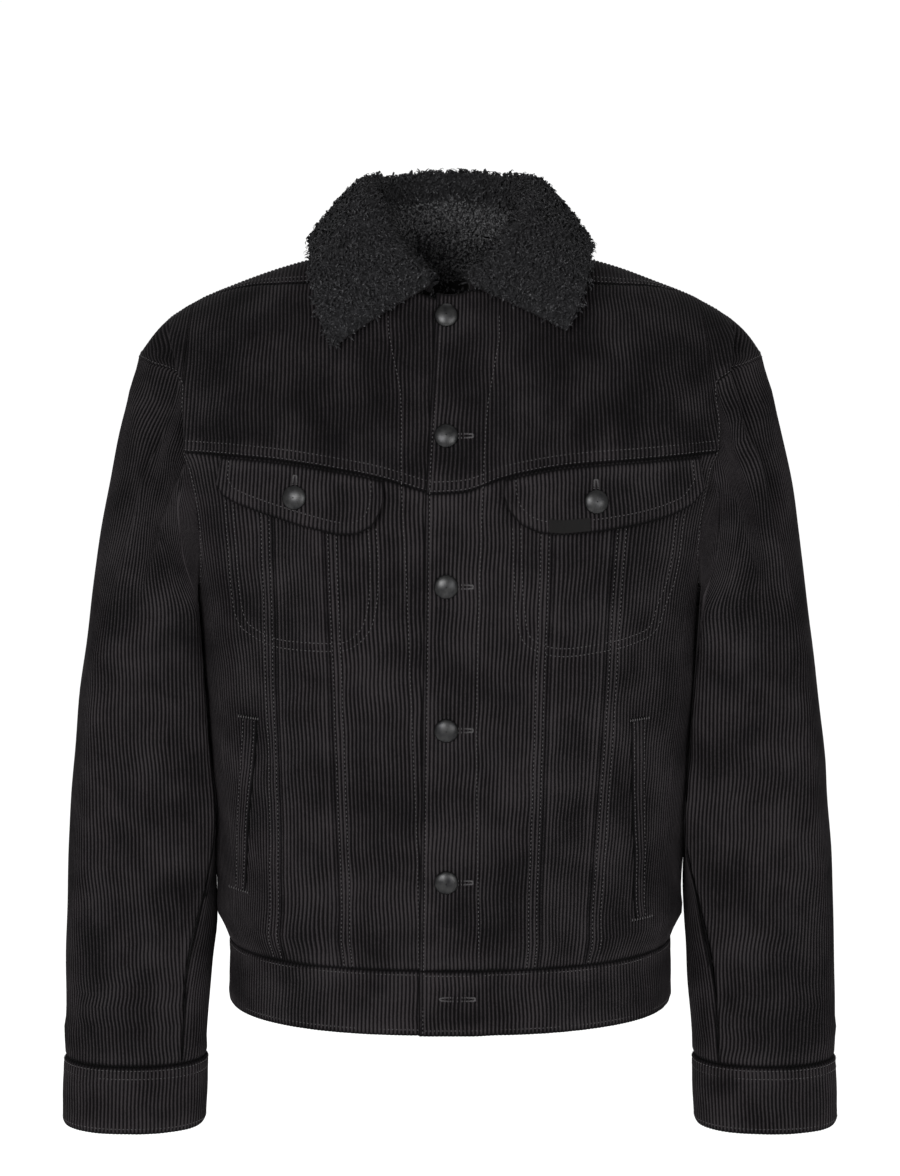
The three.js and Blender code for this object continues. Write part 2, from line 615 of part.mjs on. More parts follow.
// The back below the yoke seam, and the back yoke.
function buildBack() {
  const corner = onArmhole(BACK_YOKE_SEAM_AT_ARMHOLE);
  const seam = trace(YOKE_COLUMNS, (t) => (t === 1 ? corner : onBack(corner.x * t, BACK_YOKE_SEAM)));
  const fall = armholeRun(BACK_YOKE_SEAM_AT_ARMHOLE, UNDERARM);
  const panelTop = [...seam, ...fall.slice(1)];
  const underarm = fall.at(-1);
  const centre = trace(LOWER_ROWS, (t) => onBack(0, lerp(WAIST_SEAM, BACK_YOKE_SEAM, t)));
  const sideLine = trace(LOWER_ROWS, (t) => onSide(underarm.y, lerp(WAIST_SEAM, underarm.z, t)));
  const panelBottom = levelRun(centre[0], sideLine[0], panelTop.length - 1);
  const panel = spread(panelBottom, panelTop, centre, sideLine);
  add("back_panel", closedShell(...bothHalves(trimmed(panel, false), CORDUROY)), cloth);

  // The back yoke climbs from its seam to the neck and the shoulder seams
  const armholeRise = armholeRun(BACK_YOKE_SEAM_AT_ARMHOLE, 360 + SHOULDER_SEAM_AT_ARMHOLE);
  const centreRise = trace(BACK_YOKE_ROWS.all - BACK_YOKE_ROWS.neck, (t) =>
    onBack(0, lerp(BACK_YOKE_SEAM, onNeck(180).z, t)),
  );
  const neckRun = trace(BACK_YOKE_ROWS.neck, (t) => onNeck(lerp(180, SHOULDER_SEAM_AT_NECK, t)));
  const inner = [...centreRise.slice(0, -1), ...neckRun];
  const outer = resampled(armholeRise, BACK_YOKE_ROWS.all);
  const yoke = spread(seam, shoulderSeam(neckRun.at(-1), armholeRise.at(-1)), inner, outer);
  add("back_yoke", closedShell(...bothHalves(trimmed(yoke, false), CORDUROY)), cloth);
}

// The band round the hem.
function buildWaistband() {
  const [left, right] = FRONTS;
  const turnAt = (x, z) => Math.atan2(x, -onFront(x, z).y);
  const layer = (depth) =>
    trace(BAND.rows, (v) =>
      trace(BAND.columns, (u) => {
        const z = lerp(HEM, WAIST_SEAM - SEAM, v);
        const angle = lerp(turnAt(left.edge.hem, z), 2 * Math.PI - turnAt(right.edge.hem, z), u);
        const p = atTurn(angle, z);
        const lap = u < BAND.lapShare ? lapAt(left, p.x) : 0;
        return p.clone().addScaledVector(outward(p), lap + BAND.proud - depth);
      }),
    );
  add("waistband", closedShell([layer(0), layer(BAND.wall)]), cloth);
}

// A point round the sleeve at a height: 0 degrees is its outside, 90 its front.
function onSleeve(degrees, z, proud = 0) {
  const value = (key) => fromTable(SLEEVE, "z", z, key);
  const p = 2 / value("square");
  const half = (value("outer") - value("inner")) / 2;
  const middle = (value("outer") + value("inner")) / 2;
  return new THREE.Vector3(
    middle + (half + proud) * signedPower(Math.cos(degrees * DEGREE), p),
    value("middle") - (value("depth") + proud) * signedPower(Math.sin(degrees * DEGREE), p),
    z,
  );
}

// A ring of the sleeve. In the sleeve's head, which is 0 at the armhole and 1 below it, the ring lies
// between the armhole and the form below.
function sleeveRing({ head, z }, stations) {
  if (head === 1) return stations.map((d) => onSleeve(d, z));
  return stations.map((d) => {
    const start = onArmhole(d);
    const end = onSleeve(d, z);
    const t = head + (SLEEVE_START * (1 - head)) / start.distanceTo(end);
    const bulge = SLEEVE_HEAD_BULGE * 4 * t * (1 - t) * (0.5 + 0.5 * Math.cos(d * DEGREE));
    const p = start.lerp(end, t);
    p.x += bulge * Math.cos(d * DEGREE);
    p.y -= bulge * Math.sin(d * DEGREE);
    return p;
  });
}

// Outward directions of a grid's points; its rows run down and its columns round the front.
function gridNormals(grid, ring = false) {
  const rows = grid.length;
  const columns = grid[0].length;
  return grid.map((line, j) =>
    line.map((_, i) => {
      const before = ring ? (i + columns - 1) % columns : Math.max(0, i - 1);
      const after = ring ? (i + 1) % columns : Math.min(columns - 1, i + 1);
      const across = line[after].clone().sub(line[before]);
      const along = grid[Math.min(rows - 1, j + 1)][i].clone().sub(grid[Math.max(0, j - 1)][i]);
      return across.cross(along).normalize();
    }),
  );
}

// A grid moved along its outward directions.
function offsetGrid(grid, normals, by) {
  return grid.map((line, j) => line.map((p, i) => p.clone().addScaledVector(normals[j][i], by)));
}

// A sleeve's two panels and its cuff.
function buildSleeve(side, sign) {
  const headRows = trace(SLEEVE_HEAD_ROWS, (head) => ({ head, z: SLEEVE[0].z }));
  const armRows = SLEEVE.slice(1).filter(({ z }) => z > CUFF_TOP).map(({ z }) => ({ head: 1, z }));
  const rows = [...headRows, ...armRows, { head: 1, z: CUFF_TOP }];
  const count = 360 / ARMHOLE_STEP;
  const round = Array.from({ length: count }, (_, k) => k * ARMHOLE_STEP);
  const face = rows.map((row) => sleeveRing(row, round));
  const back = offsetGrid(face, gridNormals(face, true), -CORDUROY);
  const own = (g) => g.map((line) => line.map((p) => mirrored(p, sign)));
  const make = (name, from, to) => {
    const steps = (to - from) / ARMHOLE_STEP;
    const first = from / ARMHOLE_STEP + count;
    const part = (g) => g.map((line) => trace(steps, (t) => line[(first + Math.round(t * steps)) % count]));
    add(`${name}_${side}`, closedShell([own(trimmed(part(face))), own(trimmed(part(back)))]), cloth);
  };
  make("top_sleeve", SLEEVE_BACK_SEAM - 360, SLEEVE_FRONT_SEAM);
  make("under_sleeve", SLEEVE_FRONT_SEAM, SLEEVE_BACK_SEAM);

  const stations = [...round, 0];
  const cuff = (proud) =>
    trace(CUFF_ROWS, (v) => {
      const z = lerp(CUFF_BOTTOM, CUFF_TOP - SEAM, v);
      return stations.map((d) => mirrored(onSleeve(d, z, proud), sign));
    });
  add(`cuff_${side}`, closedShell([cuff(CUFF_PROUD), cuff(CUFF_PROUD - CUFF_WALL)]), cloth);
}

// The under collar's face that the fleece lies on: up the stand, over the roll, down the leaf.
function collarSection(turn) {
  const value = (key) => fromTable(COLLAR, "turn", Math.abs(turn), key);
  const sign = turn < 0 ? -1 : 1;
  const neck = onNeck(180 - Math.abs(turn));
  const out = new THREE.Vector3(neck.x / NECK.half ** 2, neck.y / NECK.back ** 2, 0).normalize();
  const seat = neck.clone().addScaledVector(out, -COLLAR_SEAT.inset);
  seat.z += COLLAR_SEAT.up;
  const roll = neck.clone().addScaledVector(out, value("rollOut"));
  roll.z += value("rollUp");
  const inside = roll.clone().addScaledVector(out, -COLLAR_FOLD);
  const top = roll.clone().setZ(roll.z + COLLAR_FOLD);
  const outside = roll.clone().addScaledVector(out, COLLAR_FOLD);
  const free = ontoBody(new THREE.Vector3(value("edgeX"), value("edgeY"), value("edgeZ")));
  const edge = free.clone().addScaledVector(outward(free), LEAF_STAND_OFF);
  const leaf = trace(LEAF_STEPS, (t) => outside.clone().lerp(edge, t));
  const points = [seat, seat.clone().lerp(inside, 0.5), inside, top, ...leaf];
  const lap = sign > 0 ? FRONTS[0] : FRONTS[1];
  return points.map((p) => {
    const lift = p.y < 0 ? lapAt(lap, p.x) : 0;
    return mirrored(p.clone().addScaledVector(outward(p), lift), sign);
  });
}

// The collar: corduroy underneath and sherpa on top.
function buildCollar() {
  const end = COLLAR.at(-1).turn;
  const grid = trace(COLLAR_STATIONS, (t) => collarSection(lerp(end, -end, t)));
  const normals = gridNormals(grid);
  const face = (by) => offsetGrid(grid, normals, by);
  const pileAt = (turn) => {
    const t = (Math.abs(turn) - COLLAR_END.from) / (end - COLLAR_END.from);
    return lerp(PILE, COLLAR_END.pile, ease(t));
  };
  const pile = grid.map((line, j) => {
    const depth = pileAt(lerp(end, -end, j / COLLAR_STATIONS));
    return line.map((p, i) => p.clone().addScaledVector(normals[j][i], SEAM + depth));
  });
  add("collar_under", closedShell([face(0), face(-COLLAR_CLOTH)]), cloth);
  add("collar_top", closedShell([pile, face(SEAM)]), fleece);
}

// A point of the lining, drawn in towards the middle of the neck; v runs from 0 at its hem to 1.
function onLining(u, v, inset) {
  const neck = onNeck(180 - NECK_LINING.turn * Math.abs(2 * u - 1));
  const x = lerp(NECK_LINING.half * Math.abs(2 * u - 1), neck.x, v);
  const z = lerp(NECK_LINING.bottom, neck.z + NECK_LINING.top, v);
  const p = onBack(x, Math.min(z, neck.z));
  const keep = 1 - inset / Math.hypot(p.x, p.y);
  return new THREE.Vector3(Math.sign(u - 0.5) * p.x * keep, p.y * keep, z);
}

// The sherpa inside the back of the neck, with a bare label on it.
function buildNeckLining() {
  const { columns, rows, inset } = NECK_LINING;
  const layer = (depth) => trace(rows, (v) => trace(columns, (u) => onLining(u, v, depth)));
  add("neck_lining", closedShell([layer(inset), layer(inset + LINING)]), fleece);

  const label = (depth) =>
    trace(LABEL.rows, (v) =>
      trace(LABEL.columns, (u) => {
        const z = lerp(LABEL.bottom, LABEL.top, v);
        const p = onBack(lerp(-LABEL.half, LABEL.half, u), z);
        const keep = 1 - depth / Math.hypot(p.x, p.y);
        return new THREE.Vector3(p.x * keep, p.y * keep, z);
      }),
    );
  const face = inset + LINING + LABEL.lift;
  add("neck_label", closedShell([label(face), label(face + LABEL.wall)]), satin);
}

FRONTS.forEach((front) => {
  buildFront(front);
  buildFlap(front);
  buildWelt(front);
  buildSleeve(front.side, front.sign);
});
buildFlapLabel(FRONTS[0]);
buildPlacketButtons(FRONTS[0]);
buildBack();
buildWaistband();
buildCollar();
buildNeckLining();

export default jacket;
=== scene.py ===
"""Visual model of a corduroy trucker-cut jacket with a sherpa collar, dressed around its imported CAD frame.

Shapes are worked out in millimetres in the frame of the CAD model (+Z up, front towards -Y, wearer's
left at +X) and turned to metres when a mesh is made. Corduroy wales, stitches and fleece curls are
geometry; the materials add fibre grain, nap and colour variation.
"""

import logging
import math
from dataclasses import dataclass, field
from enum import Enum
from typing import Callable, Sequence

import bpy
import numpy as np
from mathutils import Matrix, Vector


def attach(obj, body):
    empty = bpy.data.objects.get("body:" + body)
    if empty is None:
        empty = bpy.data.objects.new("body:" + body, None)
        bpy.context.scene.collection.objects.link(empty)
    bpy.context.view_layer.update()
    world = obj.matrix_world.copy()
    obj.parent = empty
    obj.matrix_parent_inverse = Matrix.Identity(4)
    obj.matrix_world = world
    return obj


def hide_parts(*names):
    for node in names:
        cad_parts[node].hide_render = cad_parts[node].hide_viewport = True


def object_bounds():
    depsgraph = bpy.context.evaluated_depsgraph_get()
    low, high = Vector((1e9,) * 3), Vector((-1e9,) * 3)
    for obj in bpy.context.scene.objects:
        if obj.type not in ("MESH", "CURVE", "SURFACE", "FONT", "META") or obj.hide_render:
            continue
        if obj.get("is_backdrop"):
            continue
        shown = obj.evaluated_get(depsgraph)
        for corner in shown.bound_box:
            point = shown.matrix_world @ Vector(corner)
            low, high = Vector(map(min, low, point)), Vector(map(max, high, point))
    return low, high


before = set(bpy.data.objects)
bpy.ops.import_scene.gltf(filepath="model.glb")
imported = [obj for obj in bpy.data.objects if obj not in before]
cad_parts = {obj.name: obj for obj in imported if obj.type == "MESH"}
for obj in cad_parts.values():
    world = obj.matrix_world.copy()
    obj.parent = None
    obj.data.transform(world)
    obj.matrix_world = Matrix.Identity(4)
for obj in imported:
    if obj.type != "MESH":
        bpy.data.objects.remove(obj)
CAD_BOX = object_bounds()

log = logging.getLogger("jacket")

Array = np.ndarray
Field = Callable[[Array], Array]

MM = 0.001
SEED = 20

# Cloth
WALE_PITCH = 3.2  # eight wales to the inch
WALE_STEPS = 4  # mesh columns to a wale
WALE_RELIEF = 0.9  # crest above valley
CORDUROY_WALL = 2.0
ROW_STEP = 9.0
SEAM_GAP = 0.3
YOKE_PAINTED_SHADE = 0.86  # the yokes keep this share of the crests' paler colour: painted shade, darker than the panels below
SEAM_LAP = 0.5  # how far two pieces of cloth run into each other at a seam
LONGEST_STEP = 10.0  # a point moves no further at once on its way to the surface

# Heights and lines of the CAD part
WAIST_SEAM = -574.0
HEM = -628.0
YOKE_SEAM_SIDE = -161.0
BACK_YOKE_SEAM = -161.0
SHOULDER_SEAM_AT_ARMHOLE = -14.0  # degrees round the armhole from its top
YOKE_SEAM_AT_ARMHOLE = 72.0
ARMHOLE_FOREMOST = 90.0
UNDERARM = 180.0
ARMHOLE_HINDMOST = 270.0
BACK_YOKE_SEAM_AT_ARMHOLE = 288.0
SLEEVE_FRONT_SEAM = 132.0  # degrees round the sleeve from its outside through its front
SLEEVE_BACK_SEAM = 252.0
CUFF_TOP = -676.0
CUFF_BOTTOM = -734.0
LAP = 2.6  # how far the left front lies over the right one
LAP_FLAT = 20.0
LAP_SLOPE = 16.0
FAR = 1e3  # a distance past any seam
FLEECE_BACK_STEP = 4
LYING_CURL = (6.4, 4.2)  # the width and height of a curl that lies sideways on the collar
UPRIGHT_CURL = (4.4, 7.0)  # and of one that stands upright inside the neck
CLOTH_CREST = 0.2  # how much of its tips' colour shows on a cloth's cut edge
SEAM_ROWS = (2.2, 9.2)  # double topstitching above a cross seam
PANEL_ROWS = (2.2, 8.8)  # and beside a long seam


class Side(Enum):
    """The wearer's left or right."""

    LEFT = "left"
    RIGHT = "right"

    @property
    def sign(self) -> float:
        """1 on the left, where x is positive, and -1 on the right."""
        return 1.0 if self is Side.LEFT else -1.0


class Held(Enum):
    """How a piece of cloth is held in the jacket."""

    HUNG = "hung"
    FOLDED = "folded"
    STRETCHED = "stretched"


class Slot(Enum):
    """The frame's material slots."""

    CORDUROY = "corduroy"
    FLEECE = "sherpa_fleece"
    SATIN = "label_satin"
    ZINC = "gunmetal_zinc"


def lerp(a: Array | float, b: Array | float, t: Array | float) -> Array | float:
    """The value a share t of the way from a to b."""
    return a + (b - a) * t


def ease(t: Array | float) -> Array:
    """A smooth step from 0 to 1 that stays level outside them."""
    c = np.clip(t, 0.0, 1.0)
    return c * c * (3 - 2 * c)


def signed_power(value: Array, power: float | Array) -> Array:
    """A power that keeps the sign of its base."""
    return np.sign(value) * np.abs(value) ** power


def bell(distance: Array, width: float) -> Array:
    """A soft hump of height 1 at distance 0."""
    return np.exp(-((distance / width) ** 2))


def unit(vectors: Array) -> Array:
    """The vectors, each made one long."""
    return vectors / np.maximum(np.linalg.norm(vectors, axis=-1, keepdims=True), 1e-12)


def mirrored(points: Array, sign: float = -1.0) -> Array:
    """The points, moved to the other side of the centre plane when sign is -1."""
    return points * np.array([sign, 1.0, 1.0])


def lengths_along(points: Array, axis: int = 0) -> Array:
    """The distance from the first point along an axis of a curve or grid to each of its points."""
    steps = np.linalg.norm(np.diff(points, axis=axis), axis=-1)
    start = np.zeros_like(np.take(steps, [0], axis))
    return np.concatenate([start, np.cumsum(steps, axis=axis)], axis=axis)


def resampled(points: Array, stations: Array) -> Array:
    """Points of a curve at given distances along it.

    Args:
        points: The curve, one point a row.
        stations: Distances from its first point.

    Returns:
        One point a station.
    """
    along = lengths_along(points)
    return np.stack([np.interp(stations, along, points[:, k]) for k in range(3)], axis=1)


def grid_normals(grid: Array) -> Array:
    """Unit normals of a grid of points, in its shape."""
    return unit(np.cross(np.gradient(grid, axis=1), np.gradient(grid, axis=0)))


def turned_in(grid: Array, normals: Array) -> bool:
    """Whether a grid's own faces look against its normals, judged at its middle."""
    r, c = grid.shape[0] // 2, grid.shape[1] // 2
    return float(np.cross(grid[r, c + 1] - grid[r, c], grid[r + 1, c] - grid[r, c]) @ normals[r, c]) < 0


def hermite(t: Array, ends: tuple[Array, Array], slopes: tuple[Array, Array],
            width: Array | float = 1.0) -> Array:
    """Smooth values between two ends.

    Args:
        t: Shares of the way from the first end.
        ends: The values at both ends.
        slopes: The slopes there.
        width: The distance between the ends, in the slopes' unit.

    Returns:
        The values, in the shape that the inputs make together.
    """
    return (
        (2 * t**3 - 3 * t**2 + 1) * ends[0] + (t**3 - 2 * t**2 + t) * width * slopes[0]
        + (3 * t**2 - 2 * t**3) * ends[1] + (t**3 - t**2) * width * slopes[1]
    )


def row_stations(length: float, step: float) -> Array:
    """Shares of a length from 0 to 1, with finer steps beside both ends, where cloth turns into a seam."""
    margin = [0.0, 0.8, 1.8, 3.4, 6.0]
    inner = max(2, int(round((length - 2 * margin[-1]) / step)))
    middle = np.linspace(margin[-1], length - margin[-1], inner + 1)
    return np.concatenate([margin[:-1], middle, length - np.array(margin[:-1])[::-1]]) / length


@dataclass(frozen=True)
class Table:
    """Rows of sizes, each starting with its place, read on a smooth curve through them."""

    rows: tuple[tuple[float, ...], ...]

    def at(self, place: Array | float) -> Array:
        """The sizes at given places.

        Args:
            place: Places, held inside the table's own.

        Returns:
            An array with the places' shape and one more axis for the sizes.
        """
        data = np.array(sorted(self.rows))
        x, values = data[:, 0], data[:, 1:]
        index = np.arange(len(x))
        before, after = np.maximum(index - 1, 0), np.minimum(index + 1, len(x) - 1)
        slope = (values[after] - values[before]) / (x[after] - x[before])[:, None]
        held = np.clip(np.asarray(place, float), x[0], x[-1])
        i = np.clip(np.searchsorted(x, held, side="left") - 1, 0, len(x) - 2)
        width = (x[i + 1] - x[i])[..., None]
        t = (held - x[i])[..., None] / width
        return hermite(t, (values[i], values[i + 1]), (slope[i], slope[i + 1]), width)


@dataclass(frozen=True)
class BodyForm:
    """The body of the jacket as level sections, with its neck and armhole lines."""

    # height, half width, depth in front, depth behind, squareness in front and behind
    sections: Table = Table((
        (24, 40, 10, 73, 2.0, 2.0), (8, 60, 27, 79, 2.0, 2.0), (0, 72, 40, 82, 2.0, 2.0),
        (-16, 131, 60, 90, 2.0, 2.0), (-29, 168, 72, 96, 2.1, 2.1), (-42, 199, 81, 101, 2.1, 2.1),
        (-61, 231, 89, 107, 2.3, 2.2), (-85, 252, 98, 113, 2.5, 2.3), (-97, 256, 103, 115, 2.5, 2.4),
        (-120, 250, 112, 119, 2.7, 2.5), (-165, 232, 126, 124, 3.1, 2.7), (-210, 219, 135, 127, 3.1, 2.7),
        (-250, 212, 140, 127, 2.9, 2.6), (-300, 207, 140, 126, 2.7, 2.5), (-360, 203, 138, 124, 2.6, 2.5),
        (-430, 198, 136, 122, 2.5, 2.4), (-500, 193, 134, 121, 2.4, 2.4), (-550, 189, 132, 120, 2.4, 2.4),
        (-574, 184, 129, 118, 2.4, 2.4), (-628, 185, 131, 119, 2.4, 2.4),
    ))
    neck_half: float = 72.0
    neck_depth: float = 80.0
    armhole_top: float = -97.0
    armhole_bottom: float = -297.0
    armhole_front: float = -83.0
    armhole_back: float = 91.0
    armhole_square: float = 2.3
    # degrees round the armhole, how far its front is drawn up under the fold of the dropped shoulder
    armhole_lift: Table = Table((
        (-60, 0), (-30, 4), (-14, 7), (0, 8), (12, 8), (20, 11), (30, 15), (40, 22), (50, 28), (60, 34),
        (66, 28),
        (70, 10), (72, 0),
    ))
    # distance from the centre, depth of the shoulder seam there
    shoulder: Table = Table((
        (40, -66), (80, -66), (112, -61), (139, -48), (163, -30), (180, -18), (215, 4), (253, 27),
    ))

    def section(self, z: Array, behind: Array) -> tuple[Array, Array, Array]:
        """Half width, depth and squareness of the level section at each height."""
        half, front, back, square_front, square_back = np.moveaxis(self.sections.at(z), -1, 0)
        return half, np.where(behind, back, front), np.where(behind, square_back, square_front)

    def reach(self, p: Array) -> Array:
        """How far out each point lies, where 1 is on the surface."""
        half, depth, square = self.section(p[..., 2], p[..., 1] > 0)
        across = np.abs(p[..., 0] / half) ** square
        return (across + np.abs(p[..., 1] / depth) ** square) ** (1 / square)

    def gradient(self, p: Array) -> Array:
        """The slope of reach at each point."""
        h = 0.5
        steps = np.eye(3) * h
        return np.stack([(self.reach(p + s) - self.reach(p - s)) / (2 * h) for s in steps], axis=-1)

    def outward(self, p: Array) -> Array:
        """Unit directions out of the surface."""
        return unit(self.gradient(p))

    def onto(self, p: Array, keep_x: bool = False, rounds: int = 14) -> Array:
        """Points moved onto the surface.

        Args:
            p: Points near the surface.
            keep_x: Whether each point stays in its own plane of constant x.
            rounds: Newton steps.

        Returns:
            The moved points.
        """
        q = np.array(p, float)
        for _ in range(rounds):
            g = self.gradient(q)
            if keep_x:
                g[..., 0] = 0.0
            step = g * ((1 - self.reach(q)) / np.maximum((g**2).sum(axis=-1), 1e-9))[..., None]
            size = np.linalg.norm(step, axis=-1, keepdims=True)
            q += step * np.minimum(1, LONGEST_STEP / np.maximum(size, 1e-9))
        return q

    def front(self, x: Array | float, z: Array | float) -> Array:
        """Points of the front surface."""
        return self.back(x, z, False) * np.array([1.0, -1.0, 1.0])

    def back(self, x: Array | float, z: Array | float, behind: bool = True) -> Array:
        """Points of the back surface, or as far behind as the front surface lies in front."""
        x, z = np.broadcast_arrays(np.asarray(x, float), np.asarray(z, float))
        half, depth, square = self.section(z, np.full(z.shape, behind))
        y = depth * np.maximum(1 - np.abs(x / half) ** square, 0) ** (1 / square)
        return np.stack([x, y, z], axis=-1)

    def side(self, y: Array | float, z: Array | float) -> Array:
        """Points of the wearer's left side."""
        y, z = np.broadcast_arrays(np.asarray(y, float), np.asarray(z, float))
        half, depth, square = self.section(z, y > 0)
        x = half * np.maximum(1 - np.abs(y / depth) ** square, 0) ** (1 / square)
        return np.stack([x, y, z], axis=-1)

    @property
    def armhole_middle(self) -> float:
        """The depth of the armhole's middle."""
        return (self.armhole_front + self.armhole_back) / 2

    def ridge_height(self, x: Array) -> Array:
        """The height at which the shoulders' level sections are as wide as x."""
        levels = np.linspace(-97.0, 24.0, 200)
        halves = self.section(levels, np.zeros(200, bool))[0]
        return np.interp(x, halves[::-1], levels[::-1])

    def height_over(self, x: Array, y: Array) -> Array:
        """Heights of the surface over points near the neck."""
        low, high = np.full(np.shape(x), -140.0), np.full(np.shape(x), 24.0)
        for _ in range(40):
            middle = (low + high) / 2
            out = self.reach(np.stack([x, y, middle], axis=-1)) > 1
            high, low = np.where(out, middle, high), np.where(out, low, middle)
        return low

    def neck(self, degrees: Array | float) -> Array:
        """Points of the neck seam, by degrees from the front."""
        turn = np.radians(np.asarray(degrees, float))
        x = self.neck_half * np.sin(turn)
        y = -self.neck_depth * np.cos(turn)
        return np.stack([x, y, self.height_over(x, y)], axis=-1)

    def armhole(self, degrees: Array | float) -> Array:
        """Points of the wearer's left armhole: 0 is its top, 90 its front, 180 the underarm."""
        turn = np.radians(np.asarray(degrees, float))
        power = 2 / self.armhole_square
        radius = (self.armhole_back - self.armhole_front) / 2
        z = lerp(self.armhole_bottom, self.armhole_top, (1 + signed_power(np.cos(turn), power)) / 2)
        z = z + self.armhole_lift.at((np.asarray(degrees, float) + 180) % 360 - 180)[..., 0]
        return self.side(self.armhole_middle - radius * signed_power(np.sin(turn), power), z)


class Girth:
    """Distances round the body's level sections, measured from the centre front."""

    def __init__(self, body: BodyForm) -> None:
        """Measure the sections once."""
        self.body = body
        self.levels = np.arange(-630.0, 1.0, 3.0)
        self.turns = np.linspace(0, math.pi, 721)
        level, turn = np.meshgrid(self.levels, self.turns, indexing="ij")
        self.along = lengths_along(self.at_turn(level, turn), 1)
        self.spaces = np.arange(0.0, self.along.max() + 1.0, 1.0)
        self.turn_at = np.stack([np.interp(self.spaces, row, self.turns) for row in self.along])

    def at_turn(self, z: Array, turn: Array) -> Array:
        """Points at a height and a direction from the middle."""
        rim = np.stack([100 * np.sin(turn), -100 * np.cos(turn), z], axis=-1)
        rim[..., :2] /= self.body.reach(rim)[..., None]
        return rim

    def _read(self, table: Array, z: Array, column: Array) -> Array:
        """A table over the levels, read between its entries."""
        row = np.clip((z - self.levels[0]) / (self.levels[1] - self.levels[0]), 0, len(self.levels) - 1.001)
        column = np.clip(column, 0, table.shape[1] - 1.001)
        r, c = row.astype(int), column.astype(int)
        fr, fc = row - r, column - c
        low = table[r, c] * (1 - fc) + table[r, c + 1] * fc
        high = table[r + 1, c] * (1 - fc) + table[r + 1, c + 1] * fc
        return low * (1 - fr) + high * fr

    def point(self, s: Array | float, z: Array | float) -> Array:
        """Points at a distance round from the centre front, and a height.

        Args:
            s: Distances, negative towards the wearer's right.
            z: Heights.

        Returns:
            Points on the body.
        """
        s, z = np.broadcast_arrays(np.asarray(s, float), np.asarray(z, float))
        turn = self._read(self.turn_at, z, np.abs(s) / (self.spaces[1] - self.spaces[0]))
        p = self.at_turn(z, turn)
        p[..., 0] *= np.where(s < 0, -1.0, 1.0)
        return p

    def of(self, p: Array) -> Array:
        """The distance round of each point."""
        turn = np.arctan2(np.abs(p[..., 0]), -p[..., 1])
        s = self._read(self.along, p[..., 2], turn / (self.turns[1] - self.turns[0]))
        return s * np.where(p[..., 0] < 0, -1.0, 1.0)

    def half(self, z: Array) -> Array:
        """Half the whole girth at each height."""
        return np.interp(z, self.levels, self.along[:, -1])


@dataclass(frozen=True)
class Fold:
    """A soft trough or ridge along a line of two or more points."""

    line: tuple[tuple[float, float], ...]
    height: float  # above the cloth, negative for a trough
    width: float

    def at(self, a: Array, b: Array) -> Array:
        """The fold's height at points of its own plane."""
        total = np.zeros(a.shape)
        for (a0, b0), (a1, b1) in zip(self.line, self.line[1:]):
            da, db = a1 - a0, b1 - b0
            t = np.clip(((a - a0) * da + (b - b0) * db) / (da * da + db * db), 0, 1)
            distance = np.hypot(a - a0 - t * da, b - b0 - t * db)
            total = np.maximum(total, bell(distance, self.width))
        first, last = np.array(self.line[0]), np.array(self.line[-1])
        span = float(np.hypot(*(last - first)))
        share = ((a - first[0]) * (last[0] - first[0]) + (b - first[1]) * (last[1] - first[1])) / span**2
        return self.height * total * ease(share / 0.3 + 0.35) * ease((1 - share) / 0.3 + 0.35)


def folds_height(folds: Sequence[Fold], a: Array, b: Array) -> Array:
    """The heights of several folds together."""
    return sum((fold.at(a, b) for fold in folds), np.zeros(a.shape))


